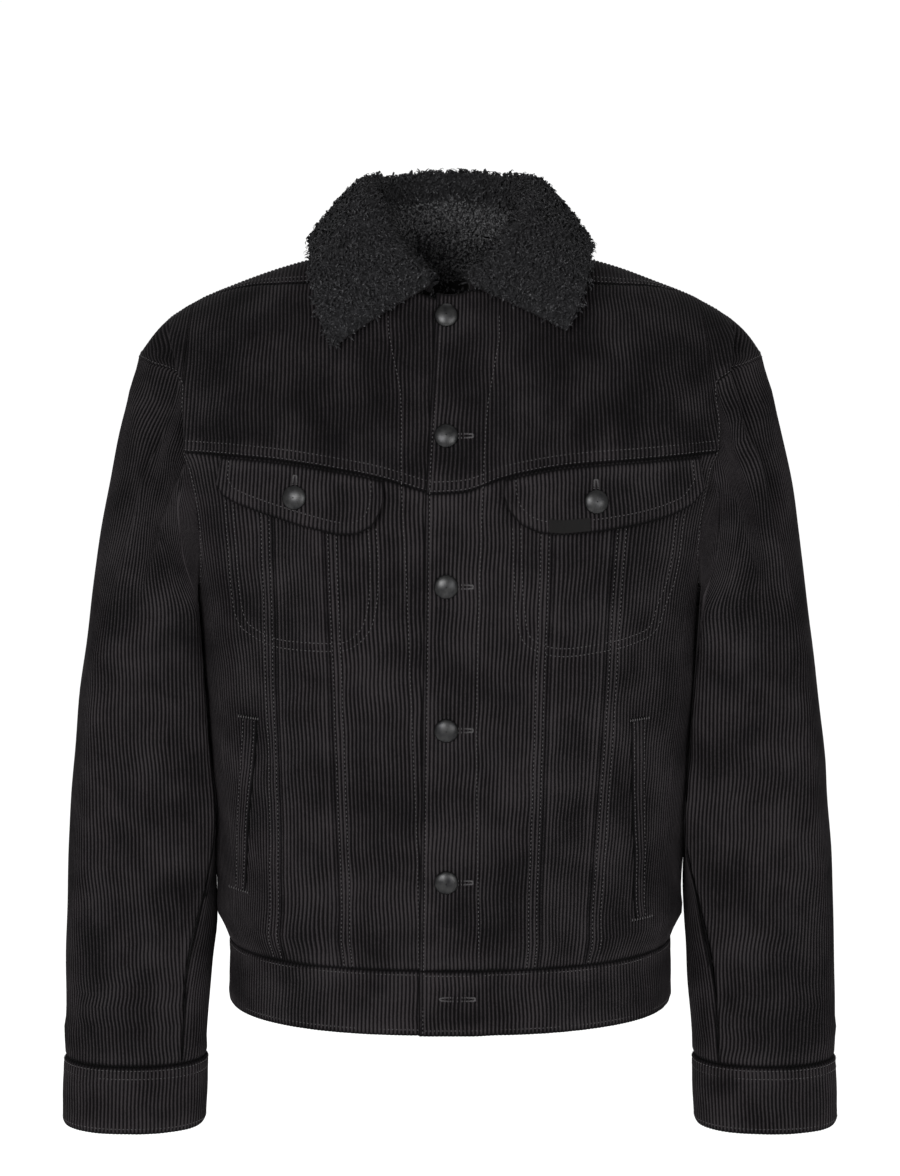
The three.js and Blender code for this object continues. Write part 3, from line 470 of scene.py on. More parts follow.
@dataclass(frozen=True)
class Drape:
    """How the cloth of the body stands off its plain form: listed folds and slow unevenness."""

    front: tuple[Fold, ...] = (
        # hollow at each side of the buttoned edge and along the chest
        Fold(((70, -95), (92, -165)), -2.2, 22), Fold(((-74, -88), (-98, -160)), -2.0, 24),
        Fold(((150, -75), (190, -150)), 2.6, 16), Fold(((-150, -80), (-188, -148)), 2.2, 17),
        # soft vertical rolls of the lower fronts
        Fold(((58, -240), (50, -380), (56, -540)), 2.0, 15), Fold(((118, -330), (126, -560)), 2.6, 17),
        Fold(((168, -250), (160, -400)), -2.4, 18), Fold(((150, -470), (158, -570)), 2.6, 13),
        Fold(((-64, -260), (-58, -420), (-62, -560)), 2.2, 16), Fold(((-126, -340), (-118, -565)), 2.4, 15),
        Fold(((-160, -240), (-168, -420)), -2.6, 17), Fold(((-148, -480), (-150, -572)), 2.8, 12),
        # blouse over the waistband, with uneven small tucks
        Fold(((40, -548), (90, -556)), 2.4, 9), Fold(((104, -556), (172, -544)), 3.0, 11),
        Fold(((-46, -552), (-96, -546)), 2.6, 10), Fold(((-110, -548), (-176, -556)), 2.8, 11),
        Fold(((84, -520), (96, -570)), -1.8, 6), Fold(((-92, -515), (-104, -570)), -1.8, 6),
        Fold(((20, -530), (24, -570)), -1.0, 7),
        # drag lines off the button stand
        Fold(((26, -262), (96, -238)), 1.3, 8), Fold(((30, -374), (104, -396)), 1.2, 9),
        Fold(((-28, -266), (-92, -246)), 1.2, 8), Fold(((-30, -380), (-96, -368)), 1.1, 9),
    )
    back: tuple[Fold, ...] = (
        Fold(((0, -170), (4, -330), (-3, -540)), 2.4, 20),
        Fold(((70, -200), (84, -380), (78, -560)), 3.2, 22),
        Fold(((-76, -190), (-82, -360), (-86, -560)), 3.0, 22),
        Fold(((140, -230), (122, -400), (130, -566)), 3.0, 18),
        Fold(((-136, -240), (-126, -420), (-122, -566)), 3.2, 17), Fold(((40, -240), (34, -520)), -2.4, 14),
        Fold(((-38, -230), (-42, -500)), -2.2, 15), Fold(((106, -260), (100, -540)), -2.2, 13),
        Fold(((-110, -280), (-104, -545)), -2.4, 13), Fold(((20, -545), (90, -552)), 2.6, 10),
        Fold(((-30, -550), (-100, -545)), 2.6, 10), Fold(((110, -550), (168, -546)), 3.0, 11),
        Fold(((-112, -548), (-170, -552)), 2.8, 11), Fold(((60, -60), (120, -120)), -1.8, 20),
        Fold(((-56, -64), (-126, -116)), -1.8, 20),
    )
    side: tuple[Fold, ...] = (
        # from the underarm down, seen in y and z
        Fold(((-20, -310), (-34, -430), (-26, -560)), 3.2, 13),
        Fold(((34, -315), (44, -440), (38, -560)), 3.4, 14),
        Fold(((6, -320), (6, -560)), -2.2, 12), Fold(((70, -330), (64, -540)), -2.0, 14),
        Fold(((-30, -550), (30, -555)), 2.6, 10),
    )
    # height, distance from the centre on the wearer's left and on the right
    fold_line: Table = Table((
        (-50, 231, 229), (-61, 229, 228), (-76, 227, 225), (-95, 224, 218), (-118, 221, 214),
        (-152, 214, 211),
    ))
    fold_depth: float = 12.0  # how far the cloth outside the shoulder fold lies behind it
    unevenness: float = 0.9

    def shoulder_fold(self, p: Array) -> Array:
        """The crisp fold of the dropped shoulder, in front: a ridge, then a step back to the armhole."""
        left, right = np.moveaxis(self.fold_line.at(p[..., 2]), -1, 0)
        beyond = np.abs(p[..., 0]) - np.where(p[..., 0] > 0, left, right)
        near = ease((-p[..., 1] - 8) / 30) * ease((p[..., 2] + 172) / 12) * ease((-50 - p[..., 2]) / 26)
        ridge = 3.2 * bell(beyond + 2.5, 7)
        step = -self.fold_depth * ease((beyond + 0.5) / 3.2) * (1 - 0.85 * ease((beyond - 4) / 24))
        return near * (ridge + step)

    def at(self, p: Array, normal: Array) -> Array:
        """The distance that the cloth stands off at points of the plain form.

        Args:
            p: Points on the body.
            normal: Unit normals there.

        Returns:
            One height a point.
        """
        x, y, z = np.moveaxis(p, -1, 0)
        turned = np.abs(normal[..., 0])
        facing = 1 - ease((turned - 0.45) / 0.4)
        front = folds_height(self.front, x, z) * facing * (y < 0)
        back = folds_height(self.back, x, z) * facing * (y > 0)
        side = folds_height(self.side, y, z) * (1 - facing) * np.where(x < 0, 0.85, 1.0)
        swell = (
            np.sin(x / 23 + z / 71 + 0.6) * np.sin(z / 37 - y / 29)
            + 0.7 * np.sin(x / 13 - z / 49 + 2.1) * np.sin(z / 19 + y / 31 + 1.0)
        )
        blouse = 3.0 * bell(z - WAIST_SEAM - 24, 20) * (z > WAIST_SEAM - 1)
        low = ease((-z - 40) / 60)
        uneven = self.unevenness * swell * (0.4 + 0.6 * low)
        return front + back + side + uneven + blouse + self.shoulder_fold(p)


@dataclass
class MeshParts:
    """Vertices, faces and crest values gathered into one mesh."""

    vertices: list[Array] = field(default_factory=list)
    faces: list[Array] = field(default_factory=list)
    crests: list[Array] = field(default_factory=list)
    count: int = 0

    def add(self, vertices: Array, faces: Sequence[Array], crest: Array | float = 0.5) -> None:
        """Add a patch.

        Args:
            vertices: Points in millimetres, one a row.
            faces: Arrays of vertex numbers, each with three or four columns.
            crest: How high in the relief each vertex lies, from 0 to 1, with painted shade and painted light
                worked in on some pieces.
        """
        self.vertices.append(vertices)
        self.crests.append(np.broadcast_to(np.asarray(crest, float), (len(vertices),)))
        self.faces.extend(f + self.count for f in faces if len(f))
        self.count += len(vertices)

    def add_grid(self, grid: Array, flip: bool = False, crest: Array | float = 0.5) -> None:
        """Add a grid of points, rows and columns, with one side showing."""
        level = crest.reshape(-1) if isinstance(crest, np.ndarray) else crest
        self.add(grid.reshape(-1, 3), [grid_faces(*grid.shape[:2], flip)], level)

    def build(self, name: str, material: bpy.types.Material, weld: bool = False) -> bpy.types.Object:
        """Make the mesh object.

        Args:
            name: The piece's name.
            material: Its finish.
            weld: Whether vertices that meet become one.

        Returns:
            The new object, in the scene.
        """
        points = np.concatenate(self.vertices) * MM
        crest = np.concatenate(self.crests)
        faces = self.faces
        if weld:
            keys = np.round(points / (2 * MM * 0.01)).astype(np.int64)
            _, first, back = np.unique(keys, axis=0, return_index=True, return_inverse=True)
            back = back.reshape(-1)
            points, crest = points[first], crest[first]
            faces = [back[f] for f in faces]
            faces = [f[(f != np.roll(f, 1, axis=1)).all(axis=1)] for f in faces]
        sizes = np.concatenate([np.full(len(f), f.shape[1]) for f in faces])
        loops = np.concatenate([f.reshape(-1) for f in faces]).astype(np.int32)
        starts = np.concatenate([[0], np.cumsum(sizes)[:-1]]).astype(np.int32)
        mesh = bpy.data.meshes.new(name)
        mesh.vertices.add(len(points))
        mesh.vertices.foreach_set("co", points.astype(np.float32).reshape(-1))
        mesh.loops.add(len(loops))
        mesh.loops.foreach_set("vertex_index", loops)
        mesh.polygons.add(len(sizes))
        mesh.polygons.foreach_set("loop_start", starts)
        mesh.polygons.foreach_set("use_smooth", np.ones(len(sizes), bool))
        layer = mesh.attributes.new("crest", "FLOAT", "POINT")
        layer.data.foreach_set("value", crest.astype(np.float32))
        mesh.update(calc_edges=True)
        mesh.validate()
        mesh.materials.append(material)
        made = bpy.data.objects.new(name, mesh)
        bpy.context.scene.collection.objects.link(made)
        return made


def grid_faces(rows: int, columns: int, flip: bool = False, ring: bool = False) -> Array:
    """Quads of a grid of vertices that are numbered row by row.

    Args:
        rows: Rows of vertices.
        columns: Columns of vertices.
        flip: Whether the faces turn the other way.
        ring: Whether the last column joins the first.

    Returns:
        An array of quads.
    """
    numbers = np.arange(rows * columns).reshape(rows, columns)
    if ring:
        numbers = np.concatenate([numbers, numbers[:, :1]], axis=1)
    quads = np.stack([numbers[:-1, :-1], numbers[:-1, 1:], numbers[1:, 1:], numbers[1:, :-1]], axis=-1)
    quads = quads.reshape(-1, 4)
    return quads[:, ::-1] if flip else quads


def close_edges(parts: MeshParts, outer: Array, back: Array, flip: bool) -> None:
    """Strips that close a face's four edges against its back."""
    borders = ((outer[0], back[0], False), (outer[-1], back[-1], True),
               (outer[:, 0], back[:, 0], True), (outer[:, -1], back[:, -1], False))
    for face, rear, turned in borders:
        parts.add_grid(np.stack([face, rear]), turned == flip, CLOTH_CREST)


def rounded(share: Array) -> Array:
    """The height of a quarter round, from 0 to 1, over shares of the way in from its edge."""
    return np.sqrt(np.clip(1 - np.clip(1 - share, 0, 1) ** 2, 0, 1))


def fleece_parts(face: Array, back: Array, flip: bool, crest: Array) -> tuple[MeshParts, MeshParts]:
    """The cloth behind a fleece, coarse because it is hidden, and the closed pile that stands on it."""
    parts, pile = MeshParts(), MeshParts()
    pile.add_grid(face, flip, crest)
    parts.add_grid(back[::FLEECE_BACK_STEP, ::FLEECE_BACK_STEP], not flip, CLOTH_CREST)
    close_edges(pile, face, back, flip)
    return parts, pile


def two_faced(face: Array, back: Array, flip: bool) -> MeshParts:
    """Plain thin cloth: a face, its back and the edges between them."""
    parts = MeshParts()
    parts.add_grid(face, flip)
    parts.add_grid(back, not flip)
    close_edges(parts, face, back, flip)
    return parts


def cloth_area(grid: Array) -> float:
    """The area of a grid of points, in square millimetres."""
    a, b = np.diff(grid, axis=1)[:-1], np.diff(grid, axis=0)[:, :-1]
    return float(np.linalg.norm(np.cross(a, b), axis=2).sum())


@dataclass
class Edges:
    """Which edges of a patch are sewn, so that its cloth turns down there."""

    left: bool = True
    right: bool = True
    bottom: bool = True
    top: bool = True


@dataclass
class Patch:
    """A four-sided piece of corduroy: rows run up and wales run from the first row to the last."""

    base: Array  # rows, columns, 3, on the plain form
    edges: Edges = field(default_factory=Edges)
    distance: Array | None = None  # from each point to its seam, where the columns are already set to wales

    def aligned(self) -> Array:
        """The base with its columns set to the wales, WALE_STEPS of them to each."""
        if self.distance is not None:
            return self.base
        across = np.diff(self.base, axis=1)
        up = unit(np.gradient(self.base, axis=0))[:, :-1]
        across = across - up * (across * up).sum(axis=-1, keepdims=True)
        along = np.concatenate([[0.0], np.cumsum(np.sqrt((across**2).sum(axis=2).mean(axis=0)))])
        wales = max(1, int(round(along[-1] / WALE_PITCH)))
        stations = np.linspace(0, along[-1], wales * WALE_STEPS + 1)
        at = np.interp(stations, along, np.arange(len(along)))
        low = np.clip(at.astype(int), 0, len(along) - 2)
        share = (at - low)[None, :, None]
        return self.base[:, low] * (1 - share) + self.base[:, low + 1] * share

    def seam_distance(self, grid: Array) -> Array:
        """How far each point lies from the nearest sewn edge."""
        if self.distance is not None:
            return self.distance
        across, up = lengths_along(grid, 1), lengths_along(grid)
        far = np.full(across.shape, FAR)
        choices = (
            (self.edges.left, across), (self.edges.right, across[:, -1:] - across),
            (self.edges.bottom, up), (self.edges.top, up[-1:] - up),
        )
        for sewn, distance in choices:
            far = np.minimum(far, np.where(sewn, distance, FAR))
        return far


def wale_relief(columns: int) -> tuple[Array, Array]:
    """The relief's height at each column and how near it is to a crest: columns start in a furrow."""
    shape = np.abs(np.sin(np.arange(columns) * math.pi / WALE_STEPS))
    return WALE_RELIEF * (shape**0.8 - 0.5), shape**1.4


def pucker(grid: Array, distance: Array) -> Array:
    """Small uneven swellings where stitching draws the cloth in."""
    x, y, z = np.moveaxis(grid, -1, 0)
    wave = np.sin((x + y * 0.8) / 3.1 + np.sin(z / 11)) * np.sin(z / 4.7 + (x - y) / 17)
    return 0.3 * wave * bell(distance - 4, 5)


def waver(grid: Array, distance: Array) -> Array:
    """How far the wales stray to one side, as pressed pile does away from the seams."""
    x, y, z = np.moveaxis(grid, -1, 0)
    stray = np.sin(z / 9.7 + 2 * np.sin(x / 31 + y / 19)) + 0.7 * np.sin(z / 6.9 - x / 23 + y / 17)
    return 0.4 * stray * ease((distance - 2) / 12)


@dataclass
class Corduroy:
    """Builds corduroy pieces from patches: a ribbed face, a plain back and a rim round both."""

    drape: Field | None
    wall: float = CORDUROY_WALL
    form: BodyForm | None = None  # where given, the cloth lies on it and takes its normals
    crest_share: float = 1.0  # how much of the crests' paler colour shows; the yokes take less, as painted shade

    def lift(self, distance: Array, grid: Array, normals: Array) -> Array:
        """The height of the cloth over its plain form, without the wales."""
        height = -1.1 * bell(distance, 1.6) + 0.35 * bell(distance - 5, 4) + pucker(grid, distance)
        if self.drape is not None:
            height = height + self.drape(np.concatenate([grid, normals], axis=-1))
        return height

    def add(self, parts: MeshParts, patch: Patch, towards: Field, extra: Field | None = None) -> float:
        """Add a patch's shell.

        Args:
            parts: The mesh that it goes into.
            patch: Its base.
            towards: The outward direction at a point.
            extra: More height, from the aligned base.

        Returns:
            The patch's flat area in square millimetres.
        """
        grid = patch.aligned()
        rows, columns = grid.shape[:2]
        normals = grid_normals(grid)
        facing = towards(grid[rows // 2, columns // 2])
        flip = float(normals[rows // 2, columns // 2] @ facing) < 0
        if self.form is not None:
            normals = self.form.outward(grid)
        elif flip:
            normals = -normals
        distance = patch.seam_distance(grid)
        height = self.lift(distance, grid, normals)
        if extra is not None:
            height = height + extra(grid)
        relief, crest = wale_relief(columns)
        # Paler crests show wear; within 1.5 mm of each seam and edge the colour darkens as painted shade in
        # the seam's groove, and a paler band a few millimetres in is painted highlight on the seam's roll,
        # with some wear.
        wear_and_painted_light = crest * self.crest_share * (1 - 0.8 * bell(distance, 1.5)) + 0.1 * bell(distance - 5.5, 3.5)
        sideways = unit(np.gradient(grid, axis=1)) * waver(grid, distance)[..., None]
        outer = grid + normals * (height + relief)[..., None] + sideways
        thin = slice(None, None, WALE_STEPS)
        inner = grid[:, thin] + normals[:, thin] * (height[:, thin] - self.wall)[..., None]
        inner_columns = inner.shape[1]
        first_inner = rows * columns
        vertices = np.concatenate([outer.reshape(-1, 3), inner.reshape(-1, 3)])
        crests = np.concatenate([wear_and_painted_light.reshape(-1), np.zeros(rows * inner_columns)])
        outer_quads = grid_faces(rows, columns, flip)
        inner_quads = grid_faces(rows, inner_columns, not flip) + first_inner
        rim = self._rims(rows, columns, inner_columns, flip)
        parts.add(vertices, [outer_quads, inner_quads, *rim], crests)
        return cloth_area(grid)

    def _rims(self, rows: int, columns: int, inner_columns: int, flip: bool) -> list[Array]:
        """Faces that join the ribbed face to the back along all four edges."""
        outer = np.arange(rows * columns).reshape(rows, columns)
        inner = np.arange(rows * inner_columns).reshape(rows, inner_columns) + rows * columns
        quads = []
        for o, i, turned in ((outer[:, 0], inner[:, 0], False), (outer[:, -1], inner[:, -1], True)):
            quads.append(self._turned(np.stack([o[:-1], o[1:], i[1:], i[:-1]], axis=1), turned != flip))
        triangles = []
        for o, i, turned in ((outer[0], inner[0], False), (outer[-1], inner[-1], True)):
            near = (np.arange(columns - 1) + WALE_STEPS // 2) // WALE_STEPS
            fans = np.stack([o[1:], o[:-1], i[near]], axis=1)
            joints = np.arange(inner_columns - 1)
            middle = o[joints * WALE_STEPS + WALE_STEPS // 2]
            links = np.stack([middle, i[joints], i[joints + 1]], axis=1)
            triangles += [self._turned(fans, turned != flip), self._turned(links, turned != flip)]
        return quads + triangles

    @staticmethod
    def _turned(faces: Array, turn: bool) -> Array:
        """The faces, facing the other way when asked."""
        return faces[:, ::-1] if turn else faces


@dataclass(frozen=True)
class FrontLines:
    """The lines of one front, as distances from the centre line."""

    side: Side
    edge_neck: float
    edge_yoke: float
    edge_hem: float
    yoke_line: Table  # distance and height of the yoke seam
    inner_seam: tuple[float, float]  # at the yoke and at the waist
    outer_seam: tuple[float, float]
    flap_edge: tuple[tuple[float, float], ...]
    flap_button: tuple[float, float]
    welt: tuple[float, float]  # middle of the pocket welt at its top and bottom
    welt_bottom: float
    bag: tuple[tuple[float, float], ...]  # the stitched outline of the chest pocket
    inner_row: tuple[tuple[float, float], ...]  # height and distance of the row that holds the facing
    fan: float  # how far the wales of the yoke lean in towards the shoulder
    laps: bool

    def yoke_seam(self, x: Array | float) -> Array:
        """Heights of the yoke seam."""
        return self.yoke_line.at(x)[..., 0]

    def seam_x(self, seam: tuple[float, float], z: Array) -> Array:
        """Where a long seam runs at each height."""
        return lerp(seam[0], seam[1], (YOKE_SEAM_SIDE - z) / (YOKE_SEAM_SIDE - WAIST_SEAM))

    def edge_x(self, z: Array) -> Array:
        """Where the front's free edge runs at each height."""
        yoke = float(self.yoke_seam(self.edge_yoke))
        above = lerp(self.edge_yoke, self.edge_neck, ease((z - yoke) / 130))
        below = lerp(self.edge_yoke, self.edge_hem, (yoke - z) / (yoke - HEM))
        return np.where(z > yoke, above, below)

    def flap_low(self, x: Array) -> Array:
        """Heights of the flap's free edge."""
        across, heights = np.array(self.flap_edge).T
        return np.interp(x, across, heights)

    def lap(self, x: Array) -> Array:
        """How far this front is raised at a distance from the centre line."""
        return LAP * (1 - ease((x - LAP_FLAT) / LAP_SLOPE)) * self.laps


LEFT_FRONT = FrontLines(
    side=Side.LEFT, edge_neck=-11, edge_yoke=-19, edge_hem=-25,
    yoke_line=Table(((-25, -189.5), (0, -189), (16, -187), (40, -178), (66, -172), (93, -168),
                     (150, -164.5),
                     (217, -161))),
    inner_seam=(82, 70), outer_seam=(133, 109),
    flap_edge=((42, -190), (46, -203), (56, -214), (70, -220), (88, -221.5),
               (119, -219), (150, -214), (172, -208), (187, -201), (198, -188)),
    flap_button=(114, -196), welt=(151, 152), welt_bottom=-540.0,
    bag=((49, -215), (50, -251), (52, -281), (57, -304), (73, -315), (92, -318), (120, -315), (144, -311),
         (164, -303), (173, -281), (181, -256), (186, -208)),
    inner_row=((-70, 39), (-91, 35), (-128, 29), (-182, 26), (-262, 23), (-376, 21), (-565, 23)),
    fan=14.0, laps=True,
)
RIGHT_FRONT = FrontLines(
    side=Side.RIGHT, edge_neck=-6, edge_yoke=-6, edge_hem=-6,
    yoke_line=Table(((-25, -190), (0, -189.5), (18, -188), (45, -180), (71, -174), (123, -166), (170, -162),
                     (217, -161))),
    inner_seam=(100, 87), outer_seam=(141, 134),
    flap_edge=((52, -190), (54, -203), (61, -215), (73, -221), (88, -221.5),
               (115, -215), (145, -206), (165, -199), (176, -193), (182, -184)),
    flap_button=(121, -193), welt=(161, 171), welt_bottom=-522.0,
    bag=((58, -215), (56, -251), (58, -278), (64, -298), (78, -311), (93, -314), (116, -314), (140, -312),
         (159, -305), (169, -295), (174, -271), (176, -240), (178, -196)),
    inner_row=((-62, 49), (-83, 45), (-113, 39), (-182, 38), (-262, 34), (-371, 30), (-481, 26), (-565, 25)),
    fan=5.0,
    laps=False,
)


@dataclass
class Shell:
    """What every piece of the body shares: the form, its girths and the drape of its cloth."""

    body: BodyForm
    girth: Girth
    drape: Drape
    tip_from: float = 222.0  # distance from the centre where the shoulder's tip begins
    tip_blend: float = 14.0

    def drape_of(self, points_and_normals: Array) -> Array:
        """The drape's height, from points and normals side by side."""
        return self.drape.at(points_and_normals[..., :3], points_and_normals[..., 3:])

    def outward(self, p: Array) -> Array:
        """The outward direction at one point."""
        return self.body.outward(p[None])[0]

    def raised(self, points: Array, lift: Array | float) -> tuple[Array, Array]:
        """Points of the plain form moved onto the draped cloth.

        Args:
            points: Points on the form.
            lift: More height above the cloth.

        Returns:
            The moved points and their normals.
        """
        normals = self.body.outward(points)
        height = self.drape.at(points, normals) + lift
        return points + normals * np.asarray(height)[..., None], normals

    def shoulder_line(self, x: Array) -> Array:
        """The shoulder seam by distance from the centre, run into the side of the neck under the collar."""
        y = self.body.shoulder.at(x)[..., 0]
        y = lerp(0.0, y, ease((x - self.body.neck_half) / 28))
        line = self.settled(np.stack([x, y, self.body.ridge_height(x)], axis=-1))
        end = self.shoulder_end()
        return line + (end - line[-1]) * ease((x - 225) / (end[0] - 225))[:, None]

    def shoulder_end(self) -> Array:
        """Where the shoulder seam meets the armhole."""
        return self.body.armhole(SHOULDER_SEAM_AT_ARMHOLE)

    def settled(self, p: Array) -> Array:
        """Points moved onto the form in planes of constant x, or freely near the tips."""
        free = ease((np.abs(p[..., :1]) - self.tip_from) / self.tip_blend)
        held, loose = self.body.onto(p, keep_x=True, rounds=24), self.body.onto(p, rounds=24)
        return self.body.onto(lerp(held, loose, free), rounds=4)


@dataclass
class Piece:
    """One finished piece of cloth, with its cut, how it is held and what carries it."""

    name: str  # the node's own
    parts: MeshParts
    area: float  # square millimetres of the flat cut
    flat: tuple[float, float]  # width and length of the cut in millimetres
    held: Held
    rests_on: tuple[str, ...] = ()
    pile: MeshParts | None = None  # fleece that stands on the cloth
    least_share: float = 0.31  # of the cut's own rectangle

    def declare(self, material: bpy.types.Material, slot: Slot) -> None:
        """Build the mesh, and the pile's if it has one, hang them on the root and hide the frame's own part.
        """
        made = self.parts.build(f"{self.name}_cloth", material)
        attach(made, "root")
        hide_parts(self.name)
        pile = []
        if self.pile is not None:
            pile = [self.pile.build(f"{self.name}_pile", material)]
            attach(pile[0], "root")


def cut_of(*grids: Array) -> tuple[float, float]:
    """The size of the rectangle a piece is cut from, by its widest row and longest column."""
    width = sum(float(np.linalg.norm(np.diff(g, axis=1), axis=2).sum(axis=1).max()) for g in grids)
    length = max(float(np.linalg.norm(np.diff(g, axis=0), axis=2).sum(axis=0).max()) for g in grids)
    return width, length


@dataclass
class FrontBuilder:
    """The corduroy pieces of one front: yoke, three panels, flap and welt."""

    shell: Shell
    lines: FrontLines
    flap_wall: float = 2.4
    flap_lift: float = 0.4
    flap_stand: float = 4.5
    fold_foot: float = 64.0  # degrees round the armhole where the shoulder fold comes down to it
    corner_rise: float = 5.0  # the buttoned edge's top corner stands above the neck seam
    welt_top: float = -372.0
    welt_width: float = 13.0
    welt_taper: float = 0.65  # the share of its width that is left at the bottom
    welt_proud: float = 2.0  # how far it stands off the side panel
    welt_wall: float = 1.6
    flap_seat: float = 1.5  # below the yoke seam

    def piece(self, stem: str, patches: Sequence[Patch], held: Held, rests: str, extra: Field | None = None,
              wall: float = CORDUROY_WALL) -> Piece:
        """One piece of this front, from patches on the wearer's left, mirrored as the side needs.

        Args:
            stem: The node's name without its side.
            patches: The patches it is made of.
            held: How the cloth is held.
            rests: The node or nodes that carry it, without the side.
            extra: More height at points of the left side.
            wall: The cloth's thickness.

        Returns:
            The finished piece.
        """
        parts, area = MeshParts(), 0.0
        sign = self.lines.side.sign
        # The yokes' crests are darkened: painted shade.
        crest_share = YOKE_PAINTED_SHADE if "yoke" in stem else 1.0
        builder = Corduroy(self.shell.drape_of, wall, self.shell.body, crest_share)

        def raised(grid: Array) -> Array:
            """The lap and any more height, read on the wearer's left."""
            own = mirrored(grid, sign)
            more = extra(own) if extra is not None else 0.0
            return self.lines.lap(own[..., 0]) + more

        for patch in patches:
            placed = Patch(mirrored(patch.base, sign), patch.edges)
            area += builder.add(parts, placed, self.shell.outward, raised)
        name = f"{stem}_{self.lines.side.value}"
        return Piece(name, parts, area, cut_of(*(p.base for p in patches)), held,
                     (f"{rests}_{self.lines.side.value}",))

    def columns(self, s_low: Field, s_high: Field, shares: Array, top: Array) -> Array:
        """A grid between two lines of girth, from the waist up to a height for each column.

        Args:
            s_low: Girth of the inner edge at each height.
            s_high: Girth of the outer edge at each height.
            shares: Where each column lies between them.
            top: The height at which each column ends.

        Returns:
            Rows, columns, 3.
        """
        v = row_stations(float(np.mean(top)) - WAIST_SEAM, ROW_STEP)[:, None]
        z = lerp(WAIST_SEAM - SEAM_LAP, top + SEAM_LAP, v)
        s = lerp(s_low(z) - SEAM_LAP, s_high(z) + SEAM_LAP, shares[None, :])
        return self.shell.girth.point(s, z)

    def girth_at(self, x_of: Field) -> Field:
        """The girth of a line that is given as a distance from the centre."""
        return lambda z: self.shell.girth.of(self.shell.body.front(x_of(z), z))

    def yoke(self) -> Piece:
        """The front yoke, from the yoke seam over the chest to the neck, the shoulder and the armhole."""
        body, lines = self.shell.body, self.lines
        corner = float(body.armhole(YOKE_SEAM_AT_ARMHOLE)[0])
        arm = body.armhole(np.linspace(self.fold_foot, 0, 91))
        arm = arm[arm[:, 0] > corner + 0.6]
        plain = np.linspace(lines.edge_yoke, corner, 161)
        low = np.concatenate([body.front(plain, lines.yoke_seam(plain)), arm])
        shift = (lines.edge_neck - lines.edge_yoke) * (1 - ease((low[:, 0] - lines.edge_yoke) / 60))
        lean = lines.fan * ease((low[:, 0] - 80) / 120) * ease((arm[-1, 0] - low[:, 0]) / 40)
        end = self.shell.shoulder_end()
        x_high = low[:, 0] + shift - lean - (arm[-1, 0] - end[0]) * ease((low[:, 0] - 235) / 21)
        start = math.degrees(math.asin(lines.edge_neck / body.neck_half))
        neck = body.neck(np.linspace(start, 90, 91))
        neck[:, 2] += self.corner_rise * (1 - ease((neck[:, 0] - 16) / 12)) * lines.laps
        shoulder = self.shell.shoulder_line(np.linspace(body.neck_half, end[0], 120))
        high_line = np.concatenate([neck, shoulder[1:]])
        high = np.stack([np.interp(x_high, high_line[:, 0], high_line[:, k]) for k in range(3)], axis=1)
        v = row_stations(165, ROW_STEP)[:, None, None]
        grid = self.shell.settled(lerp(low[None], high[None], v))
        return self.piece("front_yoke", [Patch(grid)], Held.STRETCHED, "front_side")

    def panels(self) -> list[Piece]:
        """The three panels between the yoke seam and the waistband."""
        lines = self.lines
        edge = self.girth_at(lines.edge_x)
        inner = self.girth_at(lambda z: lines.seam_x(lines.inner_seam, z))
        outer = self.girth_at(lambda z: lines.seam_x(lines.outer_seam, z))
        shares = np.linspace(0, 1, 61)
        inner_top = float(lines.seam_x(lines.inner_seam, np.array(YOKE_SEAM_SIDE)))
        outer_top = float(lines.seam_x(lines.outer_seam, np.array(YOKE_SEAM_SIDE)))
        centre = self.columns(edge, inner, shares, lines.yoke_seam(lerp(lines.edge_yoke, inner_top, shares)))
        pocket = self.columns(inner, outer, shares, lines.yoke_seam(lerp(inner_top, outer_top, shares)))
        return [
            self.piece("front_centre", [Patch(centre)], Held.HUNG, "front_yoke"),
            self.piece("front_pocket_panel", [Patch(pocket)], Held.HUNG, "front_yoke"),
            self.side_panel(outer),
        ]

    def side_panel(self, outer: Field) -> Piece:
        """The side panel: a part up to the yoke seam and a part that ends at the armhole."""
        body, girth = self.shell.body, self.shell.girth
        side: Field = lambda z: girth.of(body.side(body.armhole_middle, z))
        upper = body.armhole(np.linspace(YOKE_SEAM_AT_ARMHOLE, ARMHOLE_FOREMOST, 31))
        lower = body.armhole(np.linspace(ARMHOLE_FOREMOST, UNDERARM, 91))
        low_z = outer(lower[:, 2])
        lower_share = (girth.of(lower) - low_z) / (side(lower[:, 2]) - low_z)
        turn_share, turn_z = float(lower_share[0]), float(lower[0, 2])
        arm_z, arm_s = upper[::-1, 2], girth.of(upper)[::-1]

        def right_edge(z: Array) -> Array:
            """The part's outer edge: a share of the panel, then the armhole."""
            plain = lerp(outer(z), side(z), turn_share)
            return np.where(z > turn_z, np.interp(z, arm_z, arm_s), plain)

        shares = np.linspace(0, 1, 61)
        outer_top = float(self.lines.seam_x(self.lines.outer_seam, np.array(YOKE_SEAM_SIDE)))
        tops = self.lines.yoke_seam(lerp(outer_top, float(upper[0, 0]), shares))
        first = self.columns(outer, right_edge, shares, tops)
        second = self.columns(outer, side, lower_share, lower[:, 2])
        patches = [
            Patch(first, Edges(right=False)),
            Patch(second, Edges(left=False)),
        ]
        return self.piece("front_side", patches, Held.HUNG, "front_yoke")

    def flap_share(self, x: Array, z: Array) -> Array:
        """How far up the flap a point lies."""
        low, high = self.lines.flap_low(x), self.lines.yoke_seam(x) - self.flap_seat
        return np.clip((z - low) / (high - low), 0, 1)

    def flap_height(self, own: Array) -> Array:
        """The flap's height over the panel at points of the wearer's left."""
        x, z = own[..., 0], own[..., 2]
        share = self.flap_share(x, z)
        ends = bell(x - self.lines.flap_edge[0][0], 12) + bell(x - self.lines.flap_edge[-1][0], 14)
        curl = (0.9 * ends + 0.35 * np.sin(x / 9.0)) * (1 - share) ** 2
        return self.flap_wall + self.flap_lift + self.flap_stand * (1 - share) + curl

